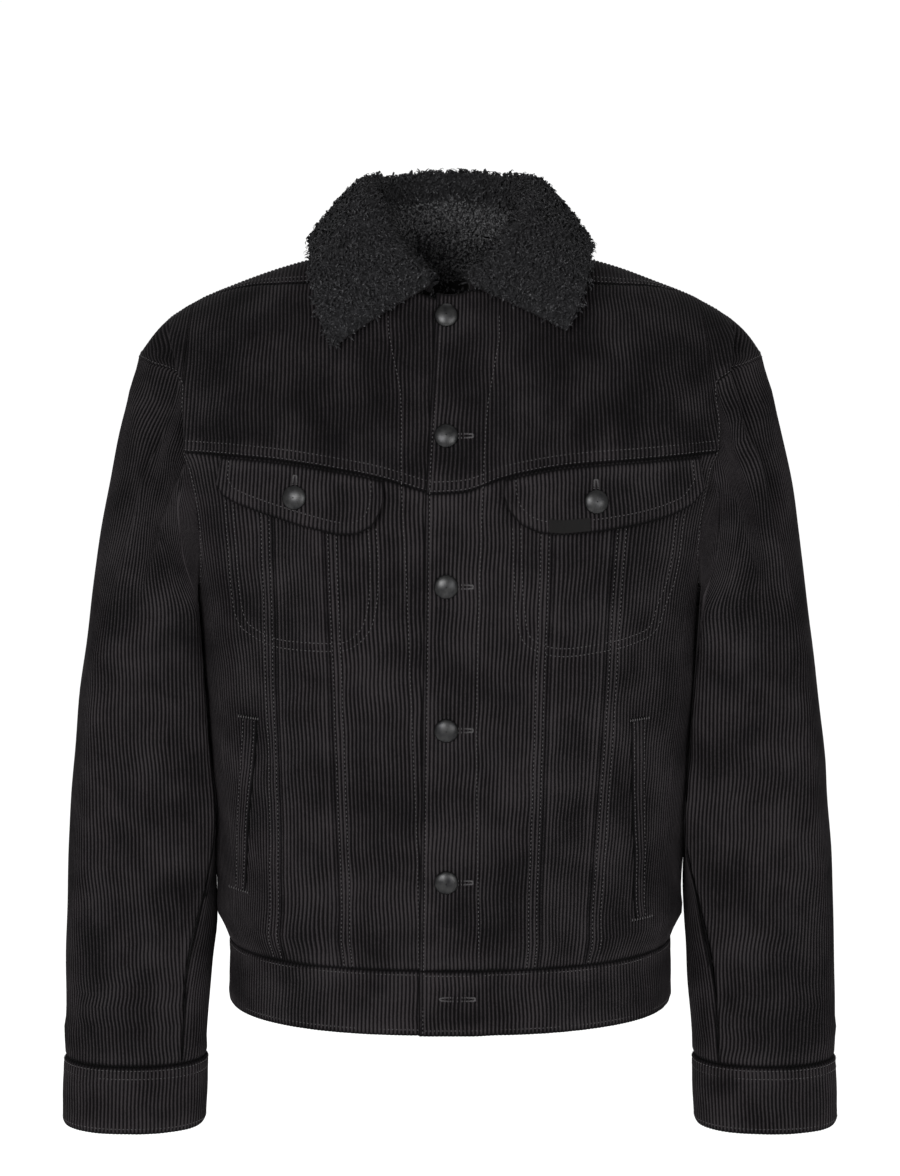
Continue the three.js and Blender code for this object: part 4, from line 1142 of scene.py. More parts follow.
    def flap(self) -> Piece:
        """The chest pocket's flap, hung from the yoke seam."""
        edge = self.lines.flap_edge
        x = np.linspace(edge[0][0], edge[-1][0], 121)
        low, high = self.lines.flap_low(x), self.lines.yoke_seam(x) - self.flap_seat
        z = lerp(low, high, row_stations(45, 4.0)[:, None])
        grid = self.shell.body.front(np.broadcast_to(x, z.shape), z)
        return self.piece("pocket_flap", [Patch(grid)], Held.HUNG, "front_yoke", self.flap_height,
                          self.flap_wall)

    def welt(self) -> Piece:
        """The slanting pocket's welt."""
        v = row_stations(self.welt_top - self.lines.welt_bottom, ROW_STEP)[:, None]
        z = lerp(self.lines.welt_bottom, self.welt_top, v)
        middle = lerp(self.lines.welt[1], self.lines.welt[0], v)
        x = middle + self.welt_width * lerp(self.welt_taper, 1.0, v) * (np.linspace(0, 1, 15)[None] - 0.5)
        grid = self.shell.body.front(x, np.broadcast_to(z, x.shape))
        return self.piece("side_welt", [Patch(grid)], Held.STRETCHED, "front_side",
                          lambda own: own[..., 0] * 0 + self.welt_proud, self.welt_wall)


@dataclass
class BackBuilder:
    """The back panel and the back yoke."""

    shell: Shell

    def panel(self) -> Piece:
        """The back below the yoke seam, as one middle part and a part beside each armhole."""
        body, girth = self.shell.body, self.shell.girth

        def half_back(z: Array) -> Array:
            """Girth from the centre back to the side line."""
            return girth.half(z) - girth.of(body.side(body.armhole_middle, z))

        upper = body.armhole(np.linspace(BACK_YOKE_SEAM_AT_ARMHOLE, ARMHOLE_HINDMOST, 31))
        lower = body.armhole(np.linspace(ARMHOLE_HINDMOST, UNDERARM, 91))

        def from_back(p: Array) -> Array:
            """Girth from the centre back to a point."""
            return girth.half(p[..., 2]) - girth.of(p)

        lower_share = from_back(lower) / half_back(lower[:, 2])
        turn_share, turn_z = float(lower_share[0]), float(lower[0, 2])
        arm_z, arm_s = upper[::-1, 2], from_back(upper)[::-1]

        def grid(shares: Array, top: Array, edge: Field) -> Array:
            """A grid of columns up to their tops."""
            v = row_stations(float(np.mean(top)) - WAIST_SEAM, ROW_STEP)[:, None]
            gap = SEAM_GAP / 2
            z = lerp(WAIST_SEAM + gap, top - gap, v)
            s = shares[None, :] * edge(z)
            points = girth.point(girth.half(z) - np.abs(s), z)
            points[..., 0] *= np.where(s < 0, -1.0, 1.0)
            return points

        def middle_edge(z: Array) -> Array:
            """The middle part's edge: a share of the back, then the armhole."""
            return np.where(z > turn_z, np.interp(z, arm_z, arm_s), turn_share * half_back(z))

        centre = grid(np.linspace(-1, 1, 181), np.full(181, BACK_YOKE_SEAM), middle_edge)
        beside = grid(lower_share, lower[:, 2], half_back)
        patches = [
            Patch(centre, Edges(left=False, right=False)),
            Patch(beside, Edges(left=False)),
            Patch(mirrored(beside)[:, ::-1], Edges(right=False)),
        ]
        parts = MeshParts()
        builder = Corduroy(self.shell.drape_of, form=self.shell.body)
        area = sum(builder.add(parts, patch, self.shell.outward) for patch in patches)
        return Piece("back_panel", parts, area, cut_of(*(p.base for p in patches)), Held.HUNG,
                     ("back_yoke",))

    def yoke(self) -> Piece:
        """The back yoke, up from its seam to the neck and forward over both shoulders."""
        body = self.shell.body
        end = self.shell.shoulder_end()
        arm = body.armhole(np.linspace(BACK_YOKE_SEAM_AT_ARMHOLE, 360 + SHOULDER_SEAM_AT_ARMHOLE, 91))
        plain = np.linspace(0, arm[0, 0], 121)[:-1]
        low = np.concatenate([body.back(plain, BACK_YOKE_SEAM), arm])
        neck = body.neck(np.linspace(180, 90, 91))
        shoulder = self.shell.shoulder_line(np.linspace(body.neck_half, end[0], 120))
        high_line = np.concatenate([neck, shoulder[1:]])
        x = low[:, 0]
        high = np.stack([x] + [np.interp(x, high_line[:, 0], high_line[:, k]) for k in (1, 2)], axis=1)
        ridge = np.stack([x, np.full(len(x), 14.0), body.ridge_height(x) - 4], axis=1)
        ridge = np.where((x < body.neck_half)[:, None], lerp(low, high, 0.62), ridge)
        ridge = lerp(lerp(low, high, 0.62), ridge, ease((x - body.neck_half) / 40)[:, None])
        v = np.linspace(0, 1, 61)[:, None, None]
        guess = np.where(v < 0.6, lerp(low[None], ridge[None], v / 0.6),
                         lerp(ridge[None], high[None], (v - 0.6) / 0.4))
        rough = self.shell.settled(guess)
        stations = row_stations(250, ROW_STEP)
        columns = []
        for k in range(rough.shape[1]):
            line = rough[:, k]
            columns.append(resampled(line, stations * lengths_along(line)[-1]))
        half = body.onto(np.stack(columns, axis=1), rounds=3)
        half[:, 0, 0] = 0.0
        whole = np.concatenate([mirrored(half)[:, ::-1], half[:, 1:]], axis=1)
        patch = Patch(whole)
        parts = MeshParts()
        # The back yoke's crests are darkened: painted shade.
        builder = Corduroy(self.shell.drape_of, form=self.shell.body, crest_share=YOKE_PAINTED_SHADE)
        area = builder.add(parts, patch, self.shell.outward)
        return Piece("back_yoke", parts, area, cut_of(whole), Held.STRETCHED, ("collar_under",))


@dataclass
class SleeveBuilder:
    """One sleeve with its cuff, made on the wearer's left and mirrored for the right."""

    shell: Shell
    side: Side
    # height, outer and inner edge, middle in depth, half depth, squareness
    form: Table = Table((
        (-300, 297, 209, 4, 80, 2.1), (-335, 303, 207.5, 2, 74, 2.1), (-400, 311, 203.5, -2, 65, 2.1),
        (-467, 316, 199.5, -6, 57, 2.2), (-535, 320, 196, -10, 51, 2.2), (-602, 322, 200.5, -14, 46, 2.2),
        (-650, 323, 204, -17, 43, 2.2), (-676, 323, 205.5, -18, 42, 2.2), (-734, 325, 208, -20, 40, 2.2),
    ))
    head_end: float = -300.0
    head_bulge: float = 6.0
    start: float = 0.4
    tuck: float = 2.2  # how far the sleeve's front starts behind the edge of the body
    clear: float = 3.2  # between the sleeve's cloth and the torso's, where they lie together
    lap: float = 5.0  # how far the sleeve runs on under the body's edge
    lap_depth: float = 2.6
    cuff_wall: float = 3.0
    cuff_proud: float = 1.0
    folds: tuple[Fold, ...] = ()

    def ring_at(self, degrees: Array, z: Array, proud: float = 0.0) -> Array:
        """Points round the sleeve below its head."""
        outer, inner, middle, depth, square = np.moveaxis(self.form.at(z), -1, 0)
        power = 2 / square
        turn = np.radians(degrees)
        half = (outer - inner) / 2
        x = (outer + inner) / 2 + (half + proud) * signed_power(np.cos(turn), power)
        y = middle - (depth + proud) * signed_power(np.sin(turn), power)
        return np.stack([x, y, np.broadcast_to(z, x.shape)], axis=-1)

    def rings(self, degrees: Array) -> Array:
        """The whole sleeve as rings from the armhole down to the cuff, smoothed below the armhole."""
        head = np.linspace(0, 1, 37)[:-1, None]
        seam = mirrored(self.shell.body.armhole(degrees), self.side.sign)
        turn = degrees % 360
        tuck = self.tuck * ease((turn - 48) / 12) * ease((150 - turn) / 30)
        first = mirrored(self.shell.raised(seam, -0.4 - tuck)[0], self.side.sign)
        last = self.ring_at(degrees, np.full(degrees.shape, self.head_end))
        span = np.linalg.norm(last - first, axis=1)
        t = head + self.start * (1 - head) / span[None]
        bulge = self.head_bulge * 4 * t * (1 - t) * (0.5 + 0.5 * np.cos(np.radians(degrees)))[None]
        top = lerp(first[None], last[None], t[..., None])
        top[..., 0] += bulge * np.cos(np.radians(degrees))
        top[..., 1] -= bulge * np.sin(np.radians(degrees))
        z = np.linspace(self.head_end, CUFF_TOP + SEAM_GAP / 2, 65)
        arm = np.stack([self.ring_at(degrees, np.full(degrees.shape, level)) for level in z])
        whole = np.concatenate([top, arm])
        for _ in range(40):
            middle = (whole[:-2] + whole[2:]) / 2
            whole[1:-1] += 0.5 * (middle - whole[1:-1])
        return self.pressed(np.concatenate([self.seam_lap(seam, tuck)[None], whole]), turn)

    def seam_lap(self, seam: Array, tuck: Array) -> Array:
        """A ring under the body's edge, so that the seam doesn't stand open."""
        body = self.shell.body
        middle = np.array([0, body.armhole_middle, (body.armhole_top + body.armhole_bottom) / 2])
        away = unit((seam - middle) * np.array([0.0, 1.0, 1.0]))
        under = body.onto(mirrored(seam, self.side.sign) + away * self.lap, rounds=12)
        sunk = self.shell.raised(mirrored(under, self.side.sign), -self.lap_depth - tuck)[0]
        return mirrored(sunk, self.side.sign)

    def pressed(self, whole: Array, turn: Array) -> Array:
        """The rings with their inner front laid against the torso, as a hanging sleeve rests there."""
        x, y, z = np.moveaxis(whole, -1, 0)
        share = ease((turn - 50) / 92) * ease((205 - turn) / 30)
        share = share[None] * ease((z + 600) / 150) * ease((-150 - z) / 150)
        torso = self.shell.body.side(np.clip(y, -90, 90), z)[..., 0] + self.clear
        moved = np.minimum(x, lerp(x, torso, share))
        return np.stack([moved, y, z], axis=-1)

    def folded(self, whole: Array, degrees: Array) -> Array:
        """The rings with the sleeve's folds and slow unevenness on them."""
        normals = grid_normals(whole)
        out = whole - whole.mean(axis=1, keepdims=True)
        if float((normals * out).sum()) < 0:
            normals = -normals
        turn = (degrees[None] + 180) % 360 - 180
        z = whole[..., 2]
        a = np.broadcast_to(turn, z.shape)
        height = folds_height(self.folds, a, z) + folds_height(self.folds, a + 360, z)
        height += folds_height(self.folds, a - 360, z)
        wave = np.sin(np.radians(a) * 2 + z / 43) * np.sin(z / 29 + self.side.sign)
        wave += 0.6 * np.sin(np.radians(a) * 5 - z / 37 + self.side.sign) * np.sin(z / 17)
        calm = ease((whole[0, 0, 2] - z.max() + 400) / 400)
        rows = np.arange(len(z))[:, None]
        height = (height + 0.9 * wave * calm) * ease(rows / 6) * ease((len(z) - 1 - rows) / 2)
        return whole + normals * height[..., None]

    def panel(self, stem: str, centre: float, before: float, after: float) -> Piece:
        """One panel of the sleeve, with wales parallel to its own middle line.

        Args:
            stem: The node's name without its side.
            centre: Where the middle line runs, in degrees.
            before: Degrees from there to one seam.
            after: Degrees from there to the other seam.

        Returns:
            The finished piece.
        """
        half = 180
        degrees = centre + np.concatenate([np.linspace(-before, 0, half + 1)[:-1],
                                           np.linspace(0, after, half + 1)])
        rings = self.folded(self.rings(degrees), degrees)
        along = lengths_along(rings, 1)
        along -= along[:, half : half + 1]
        low = np.minimum.accumulate(-along[:, 0]) + SEAM_LAP
        high = np.minimum.accumulate(along[:, -1]) + SEAM_LAP
        column = WALE_PITCH / WALE_STEPS
        first, last = -int(low[0] / column) + 1, int(high[0] / column) - 1
        s = np.arange(first, last + 1) * column
        row_numbers = np.arange(len(rings), dtype=float)
        down = lengths_along(rings[:, half])
        limit = np.where(s < 0, np.interp(-s, low[::-1], row_numbers[::-1]),
                         np.interp(s, high[::-1], row_numbers[::-1]))
        reach = np.interp(limit, row_numbers, down)
        keep = reach > ROW_STEP
        s, reach = s[keep], reach[keep]
        on_rings = np.stack([
            np.stack([np.interp(s, along[r], rings[r, :, k]) for k in range(3)], axis=1)
            for r in range(len(rings))
        ])
        shares = row_stations(down[-1], ROW_STEP)
        at = np.interp(shares[:, None] * reach[None], down, row_numbers)
        r0 = np.clip(at.astype(int), 0, len(rings) - 2)
        f = (at - r0)[..., None]
        index = np.arange(len(s))[None]
        grid = on_rings[r0, index] * (1 - f) + on_rings[r0 + 1, index] * f
        edge = np.where(s[None] < 0, np.interp(at, row_numbers, low), np.interp(at, row_numbers, high))
        depth = shares[:, None] * reach[None]
        distance = np.minimum(np.minimum(edge - np.abs(s)[None], depth), down[-1] - depth)
        grid = mirrored(grid, self.side.sign)
        middle = mirrored(rings.mean(axis=1), self.side.sign)
        trim = (-(len(s) - 1)) % WALE_STEPS
        if trim:
            kept = slice(len(s) - (WALE_STEPS - trim))
            grid, distance = grid[:, kept], distance[:, kept]
        patch = Patch(grid, distance=distance)

        def outward(p: Array) -> Array:
            """Away from the sleeve's middle line."""
            nearest = middle[np.argmin(np.abs(middle[:, 2] - p[2]))]
            return (p - nearest) * np.array([1.0, 1.0, 0.0])

        parts = MeshParts()
        area = Corduroy(None).add(parts, patch, outward)
        name = f"{stem}_{self.side.value}"
        flat = (float(low[0] + high[0]), float(down[-1]))
        return Piece(name, parts, area, flat, Held.HUNG, (f"front_yoke_{self.side.value}", "back_yoke"))

    def cuff(self) -> Piece:
        """The cuff, a band that closes on its inner side."""
        v = row_stations(CUFF_TOP - CUFF_BOTTOM, ROW_STEP)[:, None]
        z = lerp(CUFF_BOTTOM, CUFF_TOP - SEAM_GAP, v)
        turn = np.linspace(180, 540, 361)[None]
        z = np.broadcast_to(z, (len(v), 361))
        ring = self.ring_at(np.broadcast_to(turn, z.shape), z, self.cuff_proud - 0.4)
        grid = mirrored(ring, self.side.sign)
        patch = Patch(grid, Edges(left=False, right=False))
        centre = grid.mean(axis=(0, 1))
        parts = MeshParts()

        def swell(base: Array) -> Array:
            """A slight roundness between the band's edges."""
            share = (base[..., 2] - CUFF_BOTTOM) / (CUFF_TOP - CUFF_BOTTOM)
            ripple = 0.25 * np.sin(base[..., 0] / 7 + base[..., 1] / 9)
            return 1.2 * np.sin(math.pi * np.clip(share, 0, 1)) + ripple

        builder = Corduroy(None, self.cuff_wall)
        area = builder.add(parts, patch, lambda p: (p - centre) * np.array([1, 1, 0]), swell)
        name = f"cuff_{self.side.value}"
        return Piece(name, parts, area, cut_of(grid), Held.STRETCHED, (f"top_sleeve_{self.side.value}",))


@dataclass
class Waistband:
    """The band round the hem."""

    shell: Shell
    wall: float = 2.8
    proud: float = 0.5

    def piece(self) -> Piece:
        """The band, from the left front's edge round the back to the right front's."""
        v = row_stations(WAIST_SEAM - HEM, ROW_STEP)[:, None]
        z = lerp(HEM, WAIST_SEAM - SEAM_GAP, v)
        body = self.shell.body

        def turn_at(x: float) -> Array:
            """The direction from the middle of a place on the front, at each height."""
            return np.arctan2(x, -body.front(x, z)[..., 1])

        start, stop = turn_at(LEFT_FRONT.edge_hem), 2 * math.pi + turn_at(-RIGHT_FRONT.edge_hem)
        turn = lerp(start, stop, np.linspace(0, 1, 721)[None])
        half = np.abs((turn + math.pi) % (2 * math.pi) - math.pi)
        grid = self.shell.girth.at_turn(np.broadcast_to(z, turn.shape), half)
        grid[..., 0] *= np.where(np.sin(turn) < 0, -1.0, 1.0)

        def raised(base: Array) -> Array:
            """The lap in front, and the band's own thickness over the body."""
            in_front = (base[..., 1] < 0) & (base[..., 0] > -40)
            share = np.arange(base.shape[1])[None] < base.shape[1] / 4
            return self.proud + LEFT_FRONT.lap(base[..., 0]) * (in_front & share)

        parts = MeshParts()
        area = Corduroy(self.wave, self.wall).add(parts, Patch(grid), self.shell.outward, raised)
        return Piece("waistband", parts, area, cut_of(grid), Held.STRETCHED,
                     ("front_centre_left", "back_panel"))

    @staticmethod
    def wave(q: Array) -> Array:
        """The band's slow unevenness."""
        x, y, z = np.moveaxis(q[..., :3], -1, 0)
        return 0.5 * np.sin(x / 21 + y / 27) * np.sin(z / 16 + 1) + 0.7 * bell(z + 600, 18)


def smooth_curves(controls: Array, shares: Array) -> Array:
    """Smooth curves through rows of control points.

    Args:
        controls: Curves, control points, 3.
        shares: Shares of the control points' own count, from 0 to 1.

    Returns:
        Curves, shares, 3.
    """
    count = controls.shape[1]
    index = np.arange(count)
    before, after = np.maximum(index - 1, 0), np.minimum(index + 1, count - 1)
    slope = (controls[:, after] - controls[:, before]) / (after - before)[None, :, None]
    at = shares * (count - 1)
    i = np.clip(at.astype(int), 0, count - 2)
    t = (at - i)[None, :, None]
    return hermite(t, (controls[:, i], controls[:, i + 1]), (slope[:, i], slope[:, i + 1]))


@dataclass
class Curls:
    """The fleece's clumps: domes round scattered points, of uneven size."""

    seed: int = SEED

    def clumps(self, a: Array, b: Array, cell_a: float, cell_b: float, salt: int) -> tuple[Array, Array]:
        """Domes over a jittered grid of points.

        Args:
            a: Distances along the cloth.
            b: Distances across it.
            cell_a: Spacing along.
            cell_b: Spacing across.
            salt: Makes each layer its own.

        Returns:
            Dome heights from 0 to 1 and a number from 0 to 1 for each clump.
        """
        random = np.random.default_rng(self.seed + salt)
        table = random.random((64, 64, 3))
        u, v = a / cell_a, b / cell_b
        iu, iv = np.floor(u).astype(int), np.floor(v).astype(int)
        nearest, value = np.full(a.shape, 9.0), np.zeros(a.shape)
        for du in (-1, 0, 1):
            for dv in (-1, 0, 1):
                cell = table[(iu + du) % 64, (iv + dv) % 64]
                distance = np.hypot(iu + du + cell[..., 0] - u, iv + dv + cell[..., 1] - v)
                closer = distance < nearest
                nearest = np.where(closer, distance, nearest)
                value = np.where(closer, cell[..., 2], value)
        return np.sqrt(np.clip(1 - (nearest / 0.95) ** 2, 0, 1)), value

    def height(self, a: Array, b: Array, long_a: float, long_b: float) -> tuple[Array, Array]:
        """The fleece's relief.

        Args:
            a: Distances along the cloth.
            b: Distances across it.
            long_a: Length of a clump along.
            long_b: Length of a clump across.

        Returns:
            Heights in millimetres about the pile's middle, and how near each point is to a clump's top.
        """
        bend_a = a + 1.6 * np.sin(b / 3.7 + np.sin(a / 9.0)) + 1.1 * np.sin(b / 1.9 + a / 5.3)
        bend_b = b + 1.4 * np.sin(a / 4.1 + np.sin(b / 7.0)) + 0.8 * np.sin(a / 2.2 - b / 4.7)
        big, size = self.clumps(bend_a, bend_b, long_a, long_b, 1)
        small, grain = self.clumps(bend_a + 0.9 * big, bend_b, long_a * 0.45, long_b * 0.5, 2)
        slow = np.sin(a / 17 + np.sin(b / 13)) * np.sin(b / 15 + np.sin(a / 23))
        height = 3.0 * big * (0.45 + 0.75 * size) + 1.3 * small * (0.4 + grain) + 0.8 * slow - 2.3
        return height, np.clip(0.62 * big + 0.38 * small, 0, 1)


@dataclass
class Tufts:
    """Loose curls that stand out of the fleece's face: bent strips that taper to a tip."""

    count: int
    long: float = 5.2
    wide: float = 1.7
    lift: float = 2.3
    spread: float = 0.75  # how far their directions scatter, in radians
    wear_and_painted_light: float = 0.78  # how much of the tips' paler colour shows on the leaves, which show wear; inside the neck painted light raises it to the full colour
    seed: int = SEED + 9

    def add(self, parts: MeshParts, face: Array, normals: Array, upright: Array, painted_light: Array) -> None:
        """Scatter the curls evenly over a face.

        Args:
            parts: The mesh that they join.
            face: The fleece's outer surface, rows, columns, 3.
            normals: Unit normals of its backing.
            upright: For each point, 0 where the curls lie along a row and 1 where they lie along a column.
            painted_light: For each point, how much painted light its curls take, from 0 to 1, up to the full
                paler tip colour inside the neck.
        """
        random = np.random.default_rng(self.seed)
        across, up = np.diff(face, axis=1)[:-1], np.diff(face, axis=0)[:, :-1]
        size = np.linalg.norm(np.cross(across, up), axis=2).reshape(-1)
        cell = random.choice(size.size, self.count, p=size / size.sum())
        r, c = np.divmod(cell, face.shape[1] - 1)
        normal = normals[r, c]
        root = face[r, c] + across[r, c] * random.random((self.count, 1))
        root = root + up[r, c] * random.random((self.count, 1))
        first = unit(across[r, c] - normal * (across[r, c] * normal).sum(axis=1, keepdims=True))
        second = np.cross(normal, first)
        turn = upright[r, c] * math.pi / 2 + self.spread * random.standard_normal(self.count)
        turn += math.pi * (random.random(self.count) < 0.5)
        along = first * np.cos(turn)[:, None] + second * np.sin(turn)[:, None]
        side = np.cross(normal, along)
        long = (self.long * (0.55 + 0.9 * random.random(self.count)))[:, None]
        bend = (random.standard_normal(self.count) * 1.1)[:, None]
        points = []
        for reach, rise, sway, half in ((0, -0.6, 0, 0.45), (0.4, 0.9, 0.35, 0.5), (0.8, 1.0, 1.0, 0.34)):
            middle = root + along * long * reach + normal * self.lift * rise * long / self.long
            middle = middle + side * bend * sway
            points += [middle - side * self.wide * half, middle + side * self.wide * half]
        points.append(root + along * long + normal * self.lift * 0.35 + side * bend * 1.9)
        base = (np.arange(self.count) * 7)[:, None]
        quads = np.concatenate([base + [0, 1, 3, 2], base + [2, 3, 5, 4]])
        # Painted light: inside the neck the curls take the full paler tip colour.
        share = self.wear_and_painted_light + (1 - self.wear_and_painted_light) * painted_light[r, c]
        # Each curl is darker at its root, down in the fleece, as painted shade, and palest at its tip.
        crest = np.outer(share, [0.35, 0.35, 0.75, 0.75, 0.95, 0.95, 1.0])
        parts.add(np.stack(points, axis=1).reshape(-1, 3), [quads, base + [4, 5, 6]], crest.reshape(-1))


@dataclass
class Collar:
    """The turned-down collar: a corduroy under side and a sherpa top side."""

    shell: Shell
    # degrees from the centre back, roll out and up from the neck, then a point near the free edge
    form: Table = Table((
        (0, 3, 40, 0, 95, -30), (30, 3, 41, 58, 88, -26), (60, 1, 41, 95, 58, -14), (90, -2, 37, 106, 8, -8),
        (115, -3, 27, 107, -32, -17), (138, -2, 17, 106, -62, -38), (156, 0, 10.5, 101, -82, -60),
        (167, 1, 8, 92, -92, -78),
    ))
    end: float = 167.0
    cloth: float = 1.6
    fold: float = 2.6
    seat_in: float = 2.6
    seat_up: float = 3.0
    stand_off: float = 4.5
    pile: float = 9.0
    end_from: float = 148.0
    end_pile: float = 7.0
    short_leaf: float = 15.0  # the wearer's left leaf ends this much higher
    leaf_bulge: float = 2.0
    tufts: int = 12000
    painted_light_inside: float = 0.3  # painted light: how much paler the fleece inside the neck is made, to lift the shade there
    painted_light_to: float = 0.16  # the share of the way from the neck seam up to which that painted light reaches
    painted_light_turn: float = 62.0  # and how many degrees to each side of the centre back
    upright_to: float = 0.22  # the share up to which its curls stand upright
    change: float = 0.12  # the share over which either changes

    def sections(self, turns: Array) -> Array:
        """Control points of the under collar's upper face: up the stand, over the roll, down the leaf."""
        body = self.shell.body
        size = np.abs(turns)
        roll_out, roll_up, x, y, z = np.moveaxis(self.form.at(size), -1, 0)
        neck = body.neck(180 - size)
        out = unit(np.stack([neck[:, 0] / body.neck_half**2, neck[:, 1] / body.neck_depth**2, 0 * size],
                            axis=1))
        up = np.array([0.0, 0.0, 1.0])
        seat = neck - out * self.seat_in + up * self.seat_up
        roll = neck + out * roll_out[:, None] + up * roll_up[:, None]
        inside, outside = roll - out * self.fold, roll + out * self.fold
        top = roll + up * self.fold
        z = z + self.short_leaf * ease((size - 126) / 36) * (turns > 0)
        free = body.onto(np.stack([x, y, z], axis=1), rounds=12)
        edge = free + body.outward(free) * self.stand_off
        leaf = []
        for t in np.linspace(0, 1, 6):
            bulge = self.leaf_bulge * math.sin(math.pi * t)
            leaf.append(lerp(outside, edge, t) + (out + up) * bulge * 0.7)
        points = np.stack([seat, lerp(seat, inside, 0.5), inside, top, *leaf], axis=1)
        lines = (LEFT_FRONT, RIGHT_FRONT)
        lap = np.where((turns > 0)[:, None], lines[0].lap(points[..., 0]), lines[1].lap(points[..., 0]))
        points += body.outward(points) * (lap * (points[..., 1] < 0))[..., None]
        points[..., 0] *= np.where(turns < 0, -1.0, 1.0)[:, None]
        return points

    def surface(self, turns: Array, shares: Array) -> Array:
        """The under collar's upper face: turns, shares, 3, at even distances along each section."""
        fine = smooth_curves(self.sections(turns), np.linspace(0, 1, 121))
        lines = [resampled(line, shares * lengths_along(line)[-1]) for line in fine]
        return np.stack(lines)

    def under(self) -> Piece:
        """The corduroy under side, which shows below the leaf's edge."""
        turns = np.linspace(self.end, -self.end, 241)
        grid = np.swapaxes(self.surface(turns, np.linspace(0, 1, 25)), 0, 1)
        parts = MeshParts()
        normals = grid_normals(grid)
        middle = np.array([0.0, 0.0, 20.0])
        if float((normals[18, 120] * (grid[18, 120] - middle)).sum()) < 0:
            normals = -normals
        back = grid - normals * self.cloth
        rows, columns = grid.shape[:2]
        across, along = grid[18, 121] - grid[18, 120], grid[19, 120] - grid[18, 120]
        flip = float(np.cross(across, along) @ normals[18, 120]) < 0
        faces = [grid_faces(rows, columns, flip), grid_faces(rows, columns, not flip) + rows * columns]
        ring = np.concatenate([
            np.arange(columns), np.arange(1, rows) * columns + columns - 1,
            (rows - 1) * columns + np.arange(columns - 2, -1, -1), np.arange(rows - 2, 0, -1) * columns,
        ])
        after = np.roll(ring, -1)
        rim = np.stack([after, ring, ring + rows * columns, after + rows * columns], axis=1)
        faces.append(rim[:, ::-1] if flip else rim)
        parts.add(np.concatenate([grid.reshape(-1, 3), back.reshape(-1, 3)]), faces, 0.6)
        return Piece("collar_under", parts, cloth_area(grid), cut_of(grid), Held.FOLDED,
                     ("front_yoke_left", "front_yoke_right", "back_yoke"))

    def fleece(self, columns: int = 610, rows: int = 100) -> Piece:
        """The sherpa top side, with its clumps as geometry.

        Args:
            columns: Columns round the neck.
            rows: Rows from the neck seam over the roll to the free edge.

        Returns:
            The finished piece.
        """
        turns = np.linspace(self.end, -self.end, columns)
        grid = np.swapaxes(self.surface(turns, np.linspace(0, 1, rows)), 0, 1)
        normals = grid_normals(grid)
        middle = np.array([0.0, 0.0, 20.0])
        row, column = int(rows * 0.75), columns // 2
        sign = 1.0 if float((normals[row, column] * (grid[row, column] - middle)).sum()) > 0 else -1.0
        normals = normals * sign
        b, a_own = lengths_along(grid), lengths_along(grid, 1)
        a = np.broadcast_to(a_own[int(rows * 0.6)], b.shape)
        from_end = np.minimum(a_own, a_own[:, -1:] - a_own)
        size = np.abs(turns)[None]
        pile = lerp(self.pile, self.end_pile, ease((size - self.end_from) / (self.end - self.end_from)))
        inner = 1 - ease((b / b[-1:] - self.upright_to) / self.change)
        curls = Curls()
        lying, high_a = curls.height(a, b, *LYING_CURL)
        upright, high_b = curls.height(a, b, *UPRIGHT_CURL)
        relief = lerp(lying, upright, inner)
        # Painted light: the fleece inside the neck, round the centre back, is made paler to lift the shade
        # there.
        painted_light = 1 - ease((b / b[-1:] - self.painted_light_to) / self.change)
        painted_light = painted_light * (1 - ease((size - self.painted_light_turn) / 50))
        crest = (1 - self.painted_light_inside) * lerp(high_a, high_b, inner) + self.painted_light_inside * painted_light
        edge = np.minimum(np.minimum(b[-1:] - b, b + 3.0), from_end)
        round_off = rounded(edge / (pile * 0.85))
        thick = SEAM_GAP + (pile + relief * (0.35 + 0.65 * round_off)) * np.maximum(round_off, 0.12)
        outer = grid + normals * thick[..., None]
        spread = unit(np.gradient(grid, axis=0))
        outer += spread * (2.2 * (1 - np.clip((b[-1:] - b) / 10, 0, 1)) * round_off)[..., None]
        back = grid + normals * SEAM_GAP
        parts, standing = fleece_parts(outer, back, sign < 0, crest)
        shape = outer.shape[:2]
        Tufts(self.tufts).add(standing, outer, normals, np.broadcast_to(inner, shape),
                              np.broadcast_to(painted_light, shape))
        return Piece("collar_top", parts, cloth_area(grid), cut_of(grid), Held.FOLDED, ("collar_under",),
                     standing)


